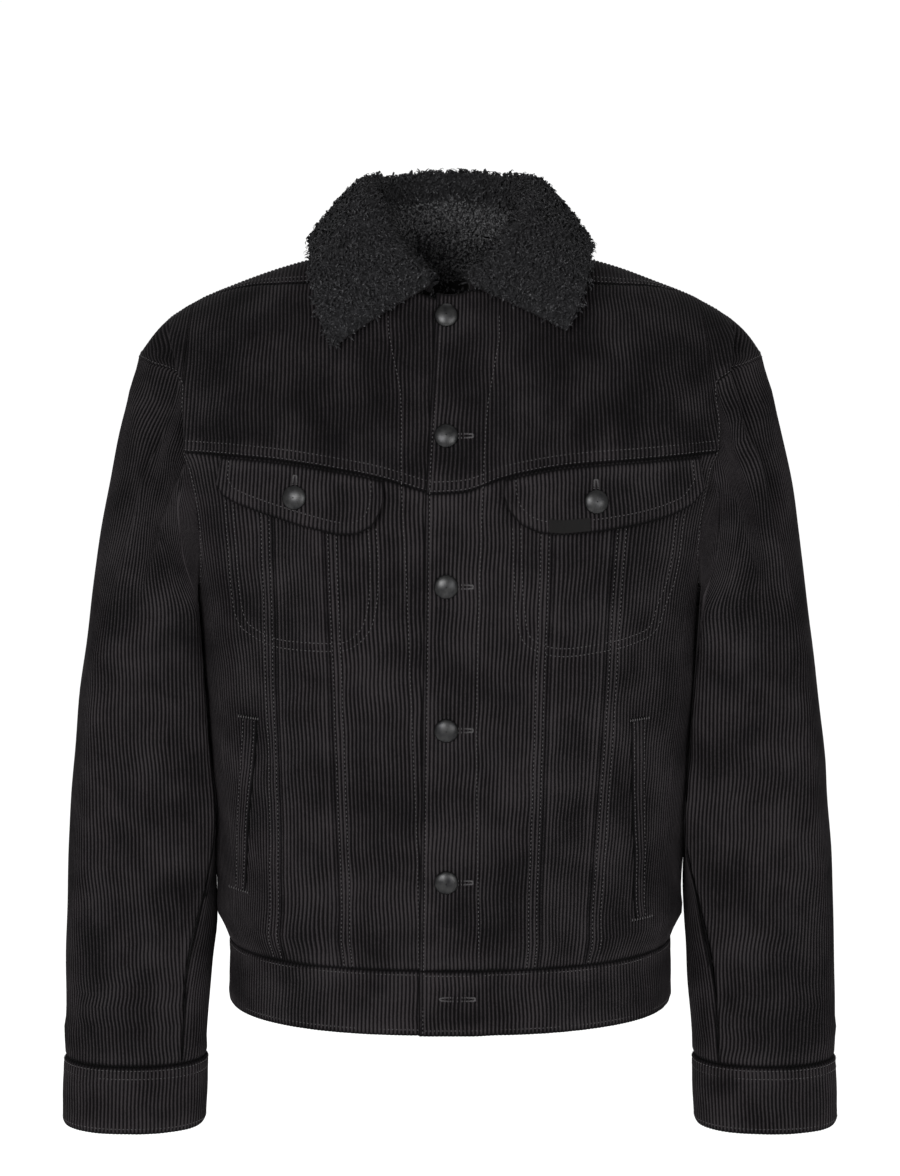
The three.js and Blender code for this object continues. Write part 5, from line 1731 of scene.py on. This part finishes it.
@dataclass
class NeckLining:
    """The fleece lining at the back of the neck, and the plain label on it."""

    shell: Shell
    half: float = 66.0
    turn: float = 44.0
    bottom: float = -104.0
    inset: float = 6.5
    thick: float = 6.0
    top: float = 2.2
    label_half: float = 31.0
    label_top: float = -33.0
    label_bottom: float = -70.0
    tufts: int = 2600

    def at(self, u: Array, v: Array, inset: float) -> Array:
        """Points of the lining, drawn in from the back of the body."""
        body = self.shell.body
        away = np.abs(2 * u - 1)
        neck = body.neck(180 - self.turn * away)
        x = lerp(self.half * away, neck[..., 0], v)
        z = lerp(self.bottom, neck[..., 2] + self.top, v)
        p = body.back(x, np.minimum(z, neck[..., 2]))
        keep = 1 - inset / np.hypot(p[..., 0], p[..., 1])
        return np.stack([np.sign(u - 0.5) * p[..., 0] * keep, p[..., 1] * keep, z], axis=-1)

    def fleece(self) -> Piece:
        """The lining's own fleece, with upright curls."""
        u, v = np.meshgrid(np.linspace(0, 1, 121), np.linspace(0, 1, 93))
        back, face = self.at(u, v, self.inset), self.at(u, v, self.inset + 1)
        normals = unit(face - back)
        relief, crest = Curls(SEED + 5).height(back[..., 0], back[..., 2], *UPRIGHT_CURL)
        edge = np.minimum(np.minimum(u, 1 - u) * 132, v * 100)  # the top runs on into the collar's fleece
        round_off = rounded(edge / 5)
        thick = (self.thick - 1.2 + 0.7 * relief) * np.maximum(round_off, 0.1)
        outer = back + normals * np.maximum(thick, 0.6)[..., None]
        parts, pile = fleece_parts(outer, back, turned_in(outer, normals), crest)
        # Painted light: all the lining's curls take the full paler tip colour.
        whole = np.ones(outer.shape[:2])
        Tufts(self.tufts).add(pile, outer, normals, whole, whole)
        return Piece("neck_lining", parts, cloth_area(back), cut_of(back), Held.HUNG, ("back_yoke",), pile)

    def label(self) -> Piece:
        """A plain satin label with turned ends; it bears nothing."""
        x, z = np.meshgrid(np.linspace(-self.label_half, self.label_half, 49),
                           np.linspace(self.label_bottom, self.label_top, 31))
        p = self.shell.body.back(x, z)
        depth = self.inset + self.thick + 0.7
        keep = 1 - depth / np.hypot(p[..., 0], p[..., 1])
        inward = unit(np.stack([-p[..., 0], -p[..., 1], 0 * x], axis=-1))
        base = np.stack([p[..., 0] * keep, p[..., 1] * keep, z], axis=-1)
        share = (z - self.label_bottom) / (self.label_top - self.label_bottom)
        rise = 0.5 * np.sin(x / 11) * np.sin(share * 3) + 0.5 * bell(np.abs(x) - self.label_half, 3)
        outer = base + inward * (0.9 + rise)[..., None]
        back = base + inward * (0.1 + rise)[..., None]
        parts = two_faced(outer, back, turned_in(outer, inward))
        return Piece("neck_label", parts, cloth_area(base), cut_of(base), Held.STRETCHED, ("neck_lining",))


@dataclass
class Thread:
    """Rows of stitches, gathered into one mesh."""

    shell: Shell
    parts: MeshParts = field(default_factory=MeshParts)
    pitch: float = 3.4
    long: float = 2.7
    thick: float = 0.8

    def stitches(self, centres: Array, along: Array, normals: Array, long: float, thick: float) -> None:
        """Add stitches, each a short thread that dips into the cloth at both ends.

        Args:
            centres: Their middles.
            along: Unit directions.
            normals: Unit directions out of the cloth.
            long: Their length.
            thick: Their thickness.
        """
        side = unit(np.cross(along, normals))
        ring = []
        for turn in (0, 90, 180, 270):
            c, s = math.cos(math.radians(turn)), math.sin(math.radians(turn))
            ring.append(centres + side * (c * thick * 0.6) + normals * (s * thick * 0.6 + 0.25 * thick))
        start, end = (centres + along * half - normals * thick * 0.3 for half in (-long / 2, long / 2))
        points = np.stack([start, *ring, end], axis=1)
        faces = []
        for k in range(4):
            n = (k + 1) % 4
            faces += [[0, 1 + n, 1 + k], [5, 1 + k, 1 + n]]
        base = (np.arange(len(centres)) * len(points[0]))[:, None, None]
        self.parts.add(points.reshape(-1, 3), [(np.array(faces)[None] + base).reshape(-1, 3)])

    def run(self, line: Array, normals: Array) -> None:
        """A row of stitches along a curve on the cloth.

        Args:
            line: The curve.
            normals: Unit normals at its points.
        """
        along = lengths_along(line)
        count = max(1, int(along[-1] / self.pitch))
        at = (np.arange(count) + 0.5) * along[-1] / count
        centres = resampled(line, at)
        step = unit(resampled(line, at + 0.8) - resampled(line, at - 0.8))
        facing = unit(np.stack([np.interp(at, along, normals[:, k]) for k in range(3)], axis=1))
        self.stitches(centres, step, facing, self.long, self.thick)

    def on_body(self, points: Array, lift: Array | float = 0.0) -> None:
        """A row of stitches along a curve on the plain form, raised onto the cloth."""
        line, normals = self.shell.raised(points, np.asarray(lift) + 0.25)
        self.run(line, normals)

    def build(self, material: bpy.types.Material) -> None:
        """Make the stitches' mesh."""
        made = self.parts.build("topstitching", material)
        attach(made, "root")


@dataclass
class FrontSewing:
    """The stitching of one front."""

    thread: Thread
    builder: FrontBuilder

    def on_front(self, x: Array, z: Array, lift: Array | float = 0.0) -> None:
        """A row on this front, from distances and heights on the wearer's left."""
        lines = self.builder.lines
        points = self.thread.shell.body.front(x, z)
        self.thread.on_body(mirrored(points, lines.side.sign), lines.lap(x) + lift)

    def sew(self) -> None:
        """All of this front's rows."""
        lines = self.builder.lines
        arm_x = float(self.thread.shell.body.armhole(YOKE_SEAM_AT_ARMHOLE)[0])
        x = np.linspace(lines.edge_yoke + 2, arm_x - 3, 160)
        for up in SEAM_ROWS:
            self.on_front(x, lines.yoke_seam(x) + up)
        z = np.linspace(WAIST_SEAM + 1, YOKE_SEAM_SIDE - 2, 240)
        for seam, side in ((lines.inner_seam, -1), (lines.outer_seam, 1)):
            for out in PANEL_ROWS:
                row = lines.seam_x(seam, z) + side * out
                keep = z < np.minimum(lines.flap_low(row), lines.yoke_seam(row) - 2) + 1
                self.on_front(row[keep], z[keep])
        z = np.linspace(HEM + 2, -52, 260)
        edge = lines.edge_x(z)
        proud = np.where(z < WAIST_SEAM, 1.0, 0.0)
        if lines.laps:
            self.on_front(edge + 3.2, z, proud)
        above = z > WAIST_SEAM
        self.on_front(Table(lines.inner_row).at(z)[above, 0], z[above])
        self.pocket()
        self.flap()
        self.welt()

    @staticmethod
    def inside(outline: Sequence[tuple[float, float]], count: int, gap: float) -> Array:
        """A smooth curve inside an outline on the front.

        Args:
            outline: Distances and heights of its points.
            count: How many points the curve has.
            gap: How far inside it runs.

        Returns:
            The curve's points, flat in the plane of the front.
        """
        path = smooth_curves(np.array([[(x, 0, z) for x, z in outline]], float), np.linspace(0, 1, count))[0]
        step = unit(np.gradient(path, axis=0))
        return path + np.stack([-step[:, 2], 0 * step[:, 0], step[:, 0]], axis=1) * gap

    def pocket(self) -> None:
        """The pocket bag's double row, a U below the flap."""
        lines = self.builder.lines
        for gap in (0.0, 6.4):
            own = self.inside(lines.bag, 200, gap)
            self.on_front(own[:, 0], own[:, 2])

    def flap(self) -> None:
        """The flap's edge row."""
        lines, builder = self.builder.lines, self.builder
        own = self.inside(lines.flap_edge, 140, 10.0)
        x = np.concatenate([[own[0, 0]] * 8, own[:, 0], [own[-1, 0]] * 8])
        top = lines.yoke_seam(own[[0, -1], 0]) - 3
        z = np.concatenate([np.linspace(top[0], own[0, 2], 9)[:-1], own[:, 2],
                            np.linspace(own[-1, 2], top[1], 9)[1:]])
        probe = np.stack([x, 0 * x, z], axis=1)
        self.on_front(x, z, builder.flap_height(probe) - 0.1)
        self.buttonhole(lines.flap_button[0], lines.flap_button[1] + 8, True)

    def buttonhole(self, x: float, z: float, upright: bool, long: float = 9.0, proud: float = 0.0) -> None:
        """A worked buttonhole beside its button.

        Args:
            x: Its middle, on the wearer's left.
            z: Its middle's height.
            upright: Whether it runs up rather than across.
            long: Half its length.
            proud: More height of the cloth there.
        """
        lines, builder = self.builder.lines, self.builder
        turn = np.linspace(0, 2 * math.pi, 61)[:-1]
        wide = 1.5
        along = long * signed_power(np.cos(turn), 0.6)
        across = wide * signed_power(np.sin(turn), 0.7) * (1 + 0.7 * ease((np.cos(turn) - 0.7) / 0.3))
        dx, dz = (across, along) if upright else (along, across)
        own_x, own_z = x + dx, z + dz
        probe = np.stack([own_x, 0 * own_x, own_z], axis=1)
        flap = builder.flap_height(probe) if upright else 0.0
        lift = lines.lap(own_x) + flap + proud + 0.45
        base = mirrored(self.thread.shell.body.front(own_x, own_z), lines.side.sign)
        centres, normals = self.thread.shell.raised(base, lift)
        middle = centres.mean(axis=0)
        outward = unit(centres - middle)
        tangent = unit(np.roll(centres, -1, axis=0) - np.roll(centres, 1, axis=0))
        direction = unit(np.cross(tangent, normals))
        direction *= np.sign((direction * outward).sum(axis=1, keepdims=True))
        self.thread.stitches(centres, direction, normals, 2.3, 0.85)

    def welt(self) -> None:
        """The welt's rows and the bar tack at its top."""
        builder = self.builder
        top, bottom = builder.welt_top, builder.lines.welt_bottom
        z = np.linspace(bottom + 2, top - 2, 60)
        share = (z - bottom) / (top - bottom)
        middle = lerp(builder.lines.welt[1], builder.lines.welt[0], share)
        for out in (-4.6, 4.6):
            self.on_front(middle + out * lerp(builder.welt_taper, 1.0, share), z, 2.0)
        for place, height in zip(builder.lines.welt, (top - 1.0, bottom + 1.0)):
            x = place + np.linspace(-8, 8, 9)
            base = self.thread.shell.body.front(x, np.full(9, height))
            centres, normals = self.thread.shell.raised(mirrored(base, builder.lines.side.sign), 2.6)
            up = np.broadcast_to(np.array([0.0, 0.0, 1.0]), centres.shape)
            self.thread.stitches(centres, up, normals, 3.4, 1.1)


@dataclass
class Sewing:
    """The stitching of everything but the fronts."""

    thread: Thread

    def back(self) -> None:
        """Rows beside the back yoke seam and the shoulder seams."""
        shell = self.thread.shell
        body = shell.body
        arm_x = float(body.armhole(BACK_YOKE_SEAM_AT_ARMHOLE)[0])
        x = np.linspace(-arm_x + 3, arm_x - 3, 300)
        for up in SEAM_ROWS:
            self.thread.on_body(body.back(x, BACK_YOKE_SEAM + up))
        x = np.linspace(104, float(body.armhole(SHOULDER_SEAM_AT_ARMHOLE)[0]) - 4, 90)
        seam = shell.shoulder_line(x)
        for back in SEAM_ROWS:
            line = body.onto(seam + np.array([0.0, back, 1.0]), keep_x=True)
            for sign in (1.0, -1.0):
                self.thread.on_body(mirrored(line, sign))

    def band(self) -> None:
        """Rows along both edges of the waistband."""
        shell = self.thread.shell
        s = np.linspace(LEFT_FRONT.edge_hem + 4, 2 * float(shell.girth.half(np.array(-600.0))) + 2, 900)
        for z in (WAIST_SEAM - 4, HEM + 5):
            half = float(shell.girth.half(np.array(z)))
            around = np.where(s > half, s - 2 * half, s)
            points = shell.girth.point(around, np.full(s.shape, z))
            lap = LEFT_FRONT.lap(points[:, 0]) * (s < half)
            normals = shell.body.outward(points)
            height = Waistband.wave(points) + 0.75 + lap
            self.thread.run(points + normals * height[:, None], normals)

    def cuffs(self, sleeve: SleeveBuilder) -> None:
        """Two rows below each cuff's top and one above its edge."""
        turn = np.linspace(0, 360, 240)
        for z in (CUFF_TOP - 3, CUFF_TOP - 10, CUFF_BOTTOM + 5):
            ring = sleeve.ring_at(turn, np.full(240, z), sleeve.cuff_proud + 0.6)
            centre = ring.mean(axis=0)
            self.thread.run(mirrored(ring, sleeve.side.sign), mirrored(unit(ring - centre), sleeve.side.sign))

    def armholes(self) -> None:
        """A row on the body beside each armhole."""
        body = self.thread.shell.body
        turn = np.linspace(-150, 150, 300)
        edge = body.armhole(turn)
        middle = edge.mean(axis=0) + np.array([20.0, 0, 0])
        away = unit((edge - middle) * np.array([0.0, 1.0, 1.0]))
        line = body.onto(edge + away * 3.0)
        for sign in (1.0, -1.0):
            self.thread.on_body(mirrored(line, sign))


@dataclass
class Buttons:
    """Plain domed zinc buttons; nothing is struck on them."""

    shell: Shell
    radius: float = 9.6
    rise: float = 4.4
    heights: tuple[float, ...] = (-53, -145, -261, -376, -500)
    x: float = -3.0

    def dome(self, place: Array, normal: Array, name: str, material: bpy.types.Material) -> bpy.types.Object:
        """One button on its place.

        Args:
            place: The middle of its back.
            normal: The direction it faces.
            name: Its name and its node's.
            material: Its finish.

        Returns:
            The new object.
        """
        profile = np.array([
            (0, 0.0), (0.88, 0.0), (0.97, 0.05), (1.0, 0.15), (0.985, 0.28), (0.93, 0.44), (0.84, 0.58),
            (0.72, 0.71), (0.58, 0.82), (0.44, 0.895), (0.3, 0.95), (0.16, 0.985), (0.05, 0.998), (0, 1.0),
        ])
        count = 56
        turn = np.linspace(0, 2 * math.pi, count, endpoint=False)
        side = unit(np.cross(normal, np.array([0.0, 0.0, 1.0])))
        up = np.cross(side, normal)
        r, h = profile[:, 0] * self.radius, profile[:, 1] * self.rise
        points = (place + r[:, None, None] * (side * np.cos(turn)[:, None] + up * np.sin(turn)[:, None])[None]
                  + h[:, None, None] * normal)
        parts = MeshParts()
        parts.add(points.reshape(-1, 3), [grid_faces(len(profile), count, flip=False, ring=True)])
        made = parts.build(f"{name}_domed", material, weld=True)
        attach(made, "root")
        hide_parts(name)
        return made

    def build(self, fronts: Sequence[FrontBuilder], material: bpy.types.Material) -> None:
        """All the buttons: five down the front and one on each flap."""
        for number, z in enumerate(self.heights, start=1):
            base = self.shell.body.front(np.array([self.x]), np.array([z]))
            place, normals = self.shell.raised(base, LAP + 0.5)
            self.dome(place[0], normals[0], f"front_button_{number}", material)
        for front in fronts:
            x, z = front.lines.flap_button
            base = mirrored(self.shell.body.front(np.array([x]), np.array([z])), front.lines.side.sign)
            lift = float(front.flap_height(np.array([[x, 0.0, z]]))[0]) + 0.5
            place, normals = self.shell.raised(base, lift)
            self.dome(place[0], normals[0], f"flap_button_{front.lines.side.value}", material)


def flap_label(shell: Shell, front: FrontBuilder) -> Piece:
    """A small plain satin label along the left flap's lower edge."""
    x, share = np.meshgrid(np.linspace(77, 109, 41), np.linspace(0, 1, 9))
    low = front.lines.flap_low(x)
    z = low + 1.5 + 10 * share
    base = shell.body.front(x, z)
    own = np.stack([x, 0 * x, z], axis=-1)
    face, normals = shell.raised(base, front.flap_height(own) + 1.3 + 0.25 * np.sin(x / 5) * share)
    back = face - normals * 0.8
    return Piece("flap_label", two_faced(face, back, False), cloth_area(base), cut_of(base), Held.STRETCHED,
                 ("pocket_flap_left",))


def linear(colour: str) -> tuple[float, float, float, float]:
    """An sRGB hex colour as linear red, green, blue and alpha."""
    parts = [int(colour[k : k + 2], 16) / 255 for k in (1, 3, 5)]
    red, green, blue = (c / 12.92 if c <= 0.04045 else ((c + 0.055) / 1.055) ** 2.4 for c in parts)
    return red, green, blue, 1.0


def fill(tree: bpy.types.NodeTree, node: bpy.types.Node, inputs: dict) -> None:
    """Set a node's inputs by name or number, and link those whose value is an output socket."""
    for key, value in inputs.items():
        if isinstance(value, bpy.types.NodeSocket):
            tree.links.new(value, node.inputs[key])
        else:
            node.inputs[key].default_value = value


def add_node(tree: bpy.types.NodeTree, kind: str, inputs: dict | None = None,
             stops: Sequence[tuple[float, str]] = (), **settings: object) -> bpy.types.Node:
    """Add a node with its settings, values and links.

    Args:
        tree: The material's node tree.
        kind: The node's type.
        inputs: A value or an output socket for each input, by name or number.
        stops: Places and hex colours of a colour ramp.
        **settings: The node's own properties.

    Returns:
        The new node.
    """
    node = tree.nodes.new(kind)
    for name, value in settings.items():
        setattr(node, name, value)
    fill(tree, node, inputs or {})
    if stops:
        elements = node.color_ramp.elements
        while len(elements) < len(stops):
            elements.new(1.0)
        for element, (place, colour) in zip(elements, stops):
            element.position, element.color = place, linear(colour)
    return node


def fresh(name: str) -> tuple[bpy.types.Material, bpy.types.NodeTree, bpy.types.Node]:
    """A new material with its node tree and its shader."""
    made = bpy.data.materials.new(name)
    made.use_nodes = True
    return made, made.node_tree, made.node_tree.nodes["Principled BSDF"]


@dataclass(frozen=True)
class Grain:
    """A noise of a real size, and how far it shifts a pile's colour to its dark or its pale end."""

    size_mm: float
    swing: float
    cut: float  # the share of the noise's range that is cut off at each end
    detail: float = 2.0
    roughness: float = 0.5
    distortion: float = 0.0

    def make(self, tree: bpy.types.NodeTree, place: bpy.types.NodeSocket) -> Sequence[bpy.types.NodeSocket]:
        """Lay the noise over the object.

        Args:
            tree: The material's node tree.
            place: The object's own coordinates.

        Returns:
            The noise itself and its shift of the colour.
        """
        noise = add_node(tree, "ShaderNodeTexNoise", {
            "Vector": place, "Scale": 1 / (self.size_mm * MM), "Detail": self.detail,
            "Roughness": self.roughness, "Distortion": self.distortion}).outputs["Fac"]
        shift = add_node(tree, "ShaderNodeMapRange", {
            "Value": noise, "From Min": self.cut, "From Max": 1 - self.cut, "To Min": -self.swing,
            "To Max": self.swing})
        return noise, shift.outputs["Result"]


@dataclass(frozen=True)
class PileFinish:
    """A pile cloth: its colour darkens down into its hollows as painted shade, is paler on its tips, where
    wear shows, and it is dull all over.
    """

    name: str
    colours: tuple[tuple[float, str], ...]  # from the hollows up to the tips
    fine: Grain
    broad: Grain
    roughness: float
    ior: float
    sheen: float
    sheen_tint: str
    sheen_roughness: float
    bump: float
    bump_mm: float
    specular: float = 0.03  # the pile swallows nearly all that its fibres mirror

    def make(self) -> bpy.types.Material:
        """The material: how high each point stands comes from the mesh, fibre and nap from noise."""
        made, tree, shader = fresh(self.name)
        place = add_node(tree, "ShaderNodeTexCoord").outputs["Object"]
        level = add_node(tree, "ShaderNodeAttribute", attribute_name="crest").outputs["Fac"]
        fibre, fine = self.fine.make(tree, place)
        for shift in (fine, self.broad.make(tree, place)[1]):
            level = add_node(tree, "ShaderNodeMath", {0: level, 1: shift}, operation="ADD").outputs["Value"]
        # Low crest values take the ramp's dark end: painted shade down in the furrows, between the clumps and
        # at the curls' roots.
        colour = add_node(tree, "ShaderNodeValToRGB", {"Fac": level}, self.colours)
        bump = add_node(tree, "ShaderNodeBump", {"Height": fibre, "Strength": self.bump,
                                                 "Distance": self.bump_mm * MM})
        fill(tree, shader, {
            "Base Color": colour.outputs["Color"], "Normal": bump.outputs["Normal"],
            "Roughness": self.roughness, "IOR": self.ior, "Specular IOR Level": self.specular,
            "Sheen Weight": self.sheen, "Sheen Roughness": self.sheen_roughness,
            "Sheen Tint": linear(self.sheen_tint)})
        return made


@dataclass(frozen=True)
class PlainFinish:
    """A finish with one colour broken up by noise, such as metal, thread or satin."""

    name: str
    dark: str
    light: str
    roughness: float
    grain_mm: float
    metallic: float = 0.0
    ior: float = 1.5
    sheen: float = 0.0
    specular: float = 0.5
    bump_mm: float = 0.05

    def make(self) -> bpy.types.Material:
        """The material: its two colours and its bump follow one noise."""
        made, tree, shader = fresh(self.name)
        place = add_node(tree, "ShaderNodeTexCoord").outputs["Object"]
        grain = add_node(tree, "ShaderNodeTexNoise", {"Vector": place, "Scale": 1 / (self.grain_mm * MM),
                                                      "Detail": 4.0}).outputs["Fac"]
        colour = add_node(tree, "ShaderNodeValToRGB", {"Fac": grain}, ((0.3, self.dark), (0.7, self.light)))
        bump = add_node(tree, "ShaderNodeBump", {"Height": grain, "Strength": 0.5,
                                                 "Distance": self.bump_mm * MM})
        fill(tree, shader, {
            "Base Color": colour.outputs["Color"], "Normal": bump.outputs["Normal"],
            "Roughness": self.roughness, "Metallic": self.metallic, "Specular IOR Level": self.specular,
            "Sheen Weight": self.sheen, **({} if self.metallic else {"IOR": self.ior})})
        return made


# Brushed cotton corduroy, cut pile on a twill ground: dull and deep, with paler crests that show wear; its
# colour darkens into the furrows and beside the seams as painted shade. Cellulose has an IOR of 1.5. The fine
# grain is the tufts, drawn three times their size so that they show, and the broad one is where the pile
# leans one way or the other.
CORDUROY = PileFinish(
    "cotton_corduroy", ((0.05, "#010101"), (0.55, "#070607"), (1.0, "#1d1b1c")),
    fine=Grain(0.9, 0.22, 0.25, roughness=0.7), broad=Grain(38.0, 0.16, 0.3, detail=3.0),
    roughness=0.92, ior=1.5, sheen=0.03, sheen_tint="#7d7a7c", sheen_roughness=0.45, bump=0.5, bump_mm=0.35)
# Knitted polyester sherpa, curled pile: matt; darker between its clumps and at its curls' roots as painted
# shade, and palest inside the neck, as painted light. Polyester has an IOR of 1.57. The grains are its
# curled hair and its clumps.
SHERPA = PileFinish(
    "polyester_sherpa", ((0.1, "#050505"), (0.64, "#111112"), (0.84, "#1f1f20"), (1.0, "#444445")),
    fine=Grain(1.1, 0.3, 0.25, 3.0, 0.75, 1.2), broad=Grain(3.0, 0.18, 0.3, distortion=1.6),
    roughness=0.97, ior=1.57, sheen=0.05, sheen_tint="#8d8c8e", sheen_roughness=0.5, bump=0.9, bump_mm=1.0)
# Die-cast zinc with a blackened nickel plating: dark, with soft broad highlights
GUNMETAL = PlainFinish("blackened_zinc", "#19191a", "#2a2a2a", 0.38, 6.0, metallic=1.0, bump_mm=0.02)
# Spun polyester thread: a little paler and smoother than the pile around it
THREAD = PlainFinish("spun_polyester_thread", "#191718", "#2a2829", 0.8, 0.8, ior=1.4)
# Woven satin label cloth: smooth with a silky gleam
SATIN = PlainFinish("satin_label_cloth", "#040404", "#080707", 0.8, 0.7, ior=1.3, sheen=0.02, specular=0.15)
# Matt white studio paper
PAPER = PlainFinish("studio_paper", "#fdfdfd", "#ffffff", 0.9, 400.0, bump_mm=0.0)


@dataclass(frozen=True)
class Studio:
    """The camera, the floor and soft light from all round."""

    eye: tuple[float, float, float] = (0.0, -2.550, 0.093)
    target: tuple[float, float, float] = (0.0, 0.0, -0.283)
    lens: float = 95.07  # on the sensor's long side
    sensor: float = 36.0
    floor: float = -1.30

    def camera(self) -> None:
        """The camera at the photograph's place."""
        data = bpy.data.cameras.new("camera")
        data.lens, data.sensor_width, data.sensor_fit = self.lens, self.sensor, "AUTO"
        data.clip_start, data.clip_end = 0.05, 60.0
        made = bpy.data.objects.new("camera", data)
        made.location = self.eye
        made.rotation_euler = (Vector(self.target) - Vector(self.eye)).to_track_quat("-Z", "Y").to_euler()
        bpy.context.scene.collection.objects.link(made)
        bpy.context.scene.camera = made

    def light(self, name: str, place: tuple[float, float, float], size: float, power: float) -> None:
        """A square soft box that faces the jacket's middle."""
        data = bpy.data.lights.new(name, "AREA")
        data.size, data.energy = size, power
        made = bpy.data.objects.new(name, data)
        made.location = place
        made.rotation_euler = (Vector((0.0, 0.0, -0.3)) - Vector(place)).to_track_quat("-Z", "Y").to_euler()
        bpy.context.scene.collection.objects.link(made)

    def build(self) -> None:
        """The floor, the white surroundings and the lights."""
        parts = MeshParts()
        half = 9000.0
        corners = np.array([(-half, -half, 0), (half, -half, 0), (half, half, 0), (-half, half, 0)], float)
        corners[:, 2] = self.floor / MM
        parts.add(corners, [np.array([[0, 1, 2, 3]])])
        parts.build("floor", PAPER.make())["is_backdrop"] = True
        world = bpy.data.worlds.new("studio")
        world.use_nodes = True
        background = world.node_tree.nodes["Background"]
        background.inputs["Color"].default_value = (1.0, 1.0, 1.0, 1.0)
        background.inputs["Strength"].default_value = 1.03
        bpy.context.scene.world = world
        bpy.context.scene.view_settings.view_transform = "Standard"
        self.light("key", (-0.9, -2.4, 0.35), 1.0, 105.0)
        self.light("fill", (1.2, -2.2, 0.0), 1.2, 50.0)
        self.light("top", (0.0, 0.4, 1.6), 1.2, 4.0)


SLEEVE_FOLDS_LEFT = (
    Fold(((10, -112), (40, -150), (62, -214)), 2.6, 9), Fold(((30, -120), (66, -168)), -2.4, 8),
    Fold(((95, -560), (60, -602)), -2.2, 8), Fold(((110, -540), (70, -570)), 2.0, 9),
    Fold(((80, -610), (40, -628)), 2.0, 8), Fold(((-60, -330), (-40, -470), (-50, -600)), 2.6, 14),
    Fold(((40, -300), (52, -420), (44, -540)), 2.2, 13), Fold(((-110, -420), (-80, -470)), -2.4, 10),
    Fold(((-120, -460), (-84, -520)), 2.4, 10), Fold(((-30, -650), (50, -660)), 1.6, 7),
    Fold(((120, -380), (84, -430)), 2.0, 11), Fold(((0, -250), (6, -420)), -1.6, 14),
)
SLEEVE_FOLDS_RIGHT = (
    Fold(((8, -106), (34, -140), (60, -206)), 2.8, 9), Fold(((26, -112), (60, -160)), -2.6, 8),
    Fold(((112, -552), (72, -586)), -2.6, 8), Fold(((118, -536), (80, -562)), 2.2, 9),
    Fold(((86, -604), (30, -622)), -2.0, 7), Fold(((84, -616), (36, -634)), 2.2, 8),
    Fold(((-64, -320), (-44, -460), (-54, -610)), 2.6, 14),
    Fold(((44, -290), (50, -430), (40, -560)), 2.0, 13),
    Fold(((-112, -430), (-76, -486)), -2.4, 10), Fold(((-118, -474), (-80, -530)), 2.4, 10),
    Fold(((-36, -652), (44, -658)), 1.6, 7), Fold(((116, -392), (80, -444)), 2.0, 11),
)


def main() -> None:
    """Build the jacket's pieces in order and report each."""
    studio = Studio()
    studio.camera()
    body = BodyForm()
    shell = Shell(body, Girth(body), Drape())
    corduroy, sherpa = CORDUROY.make(), SHERPA.make()
    satin, zinc, cotton = SATIN.make(), GUNMETAL.make(), THREAD.make()

    fronts = [FrontBuilder(shell, LEFT_FRONT), FrontBuilder(shell, RIGHT_FRONT)]
    sleeves = [SleeveBuilder(shell, Side.LEFT, folds=SLEEVE_FOLDS_LEFT),
               SleeveBuilder(shell, Side.RIGHT, folds=SLEEVE_FOLDS_RIGHT)]
    cloth: list[Piece] = []
    for front in fronts:
        cloth += [front.yoke(), *front.panels(), front.flap(), front.welt()]
    back = BackBuilder(shell)
    cloth += [back.panel(), back.yoke()]
    for sleeve in sleeves:
        cloth += [sleeve.panel("top_sleeve", 0.0, 360 - SLEEVE_BACK_SEAM, SLEEVE_FRONT_SEAM),
                  sleeve.panel("under_sleeve", 192.0, 192 - SLEEVE_FRONT_SEAM, SLEEVE_BACK_SEAM - 192),
                  sleeve.cuff()]
    collar = Collar(shell)
    cloth += [Waistband(shell).piece(), collar.under()]
    for piece in cloth:
        piece.declare(corduroy, Slot.CORDUROY)
    collar.fleece().declare(sherpa, Slot.FLEECE)
    lining = NeckLining(shell)
    lining.fleece().declare(sherpa, Slot.FLEECE)
    lining.label().declare(satin, Slot.SATIN)
    flap_label(shell, fronts[0]).declare(satin, Slot.SATIN)

    Buttons(shell).build(fronts, zinc)
    thread = Thread(shell)
    for front in fronts:
        FrontSewing(thread, front).sew()
    left = FrontSewing(thread, fronts[0])
    for z in Buttons.heights[1:]:
        left.buttonhole(9.0, z, False)
    left.buttonhole(6.0, -597.0, False, 14.0, 2.4)
    sewing = Sewing(thread)
    sewing.back()
    sewing.band()
    sewing.armholes()
    for sleeve in sleeves:
        sewing.cuffs(sleeve)
    thread.build(cotton)
    studio.build()
    counts = {o.name: len(o.data.loops) - 2 * len(o.data.polygons) for o in bpy.data.objects
              if o.type == "MESH" and not o.hide_render}
    for name, count in sorted(counts.items(), key=lambda item: -item[1]):
        log.info("%s: %d triangles", name, count)
    log.info("triangles in all: %d", sum(counts.values()))
    ({"cad": [list(map(float, side)) for side in CAD_BOX],
               "visual": [list(map(float, side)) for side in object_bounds()]})


if __name__ == "__main__":
    logging.basicConfig(level=logging.INFO, format="%(name)s %(message)s")
    main()
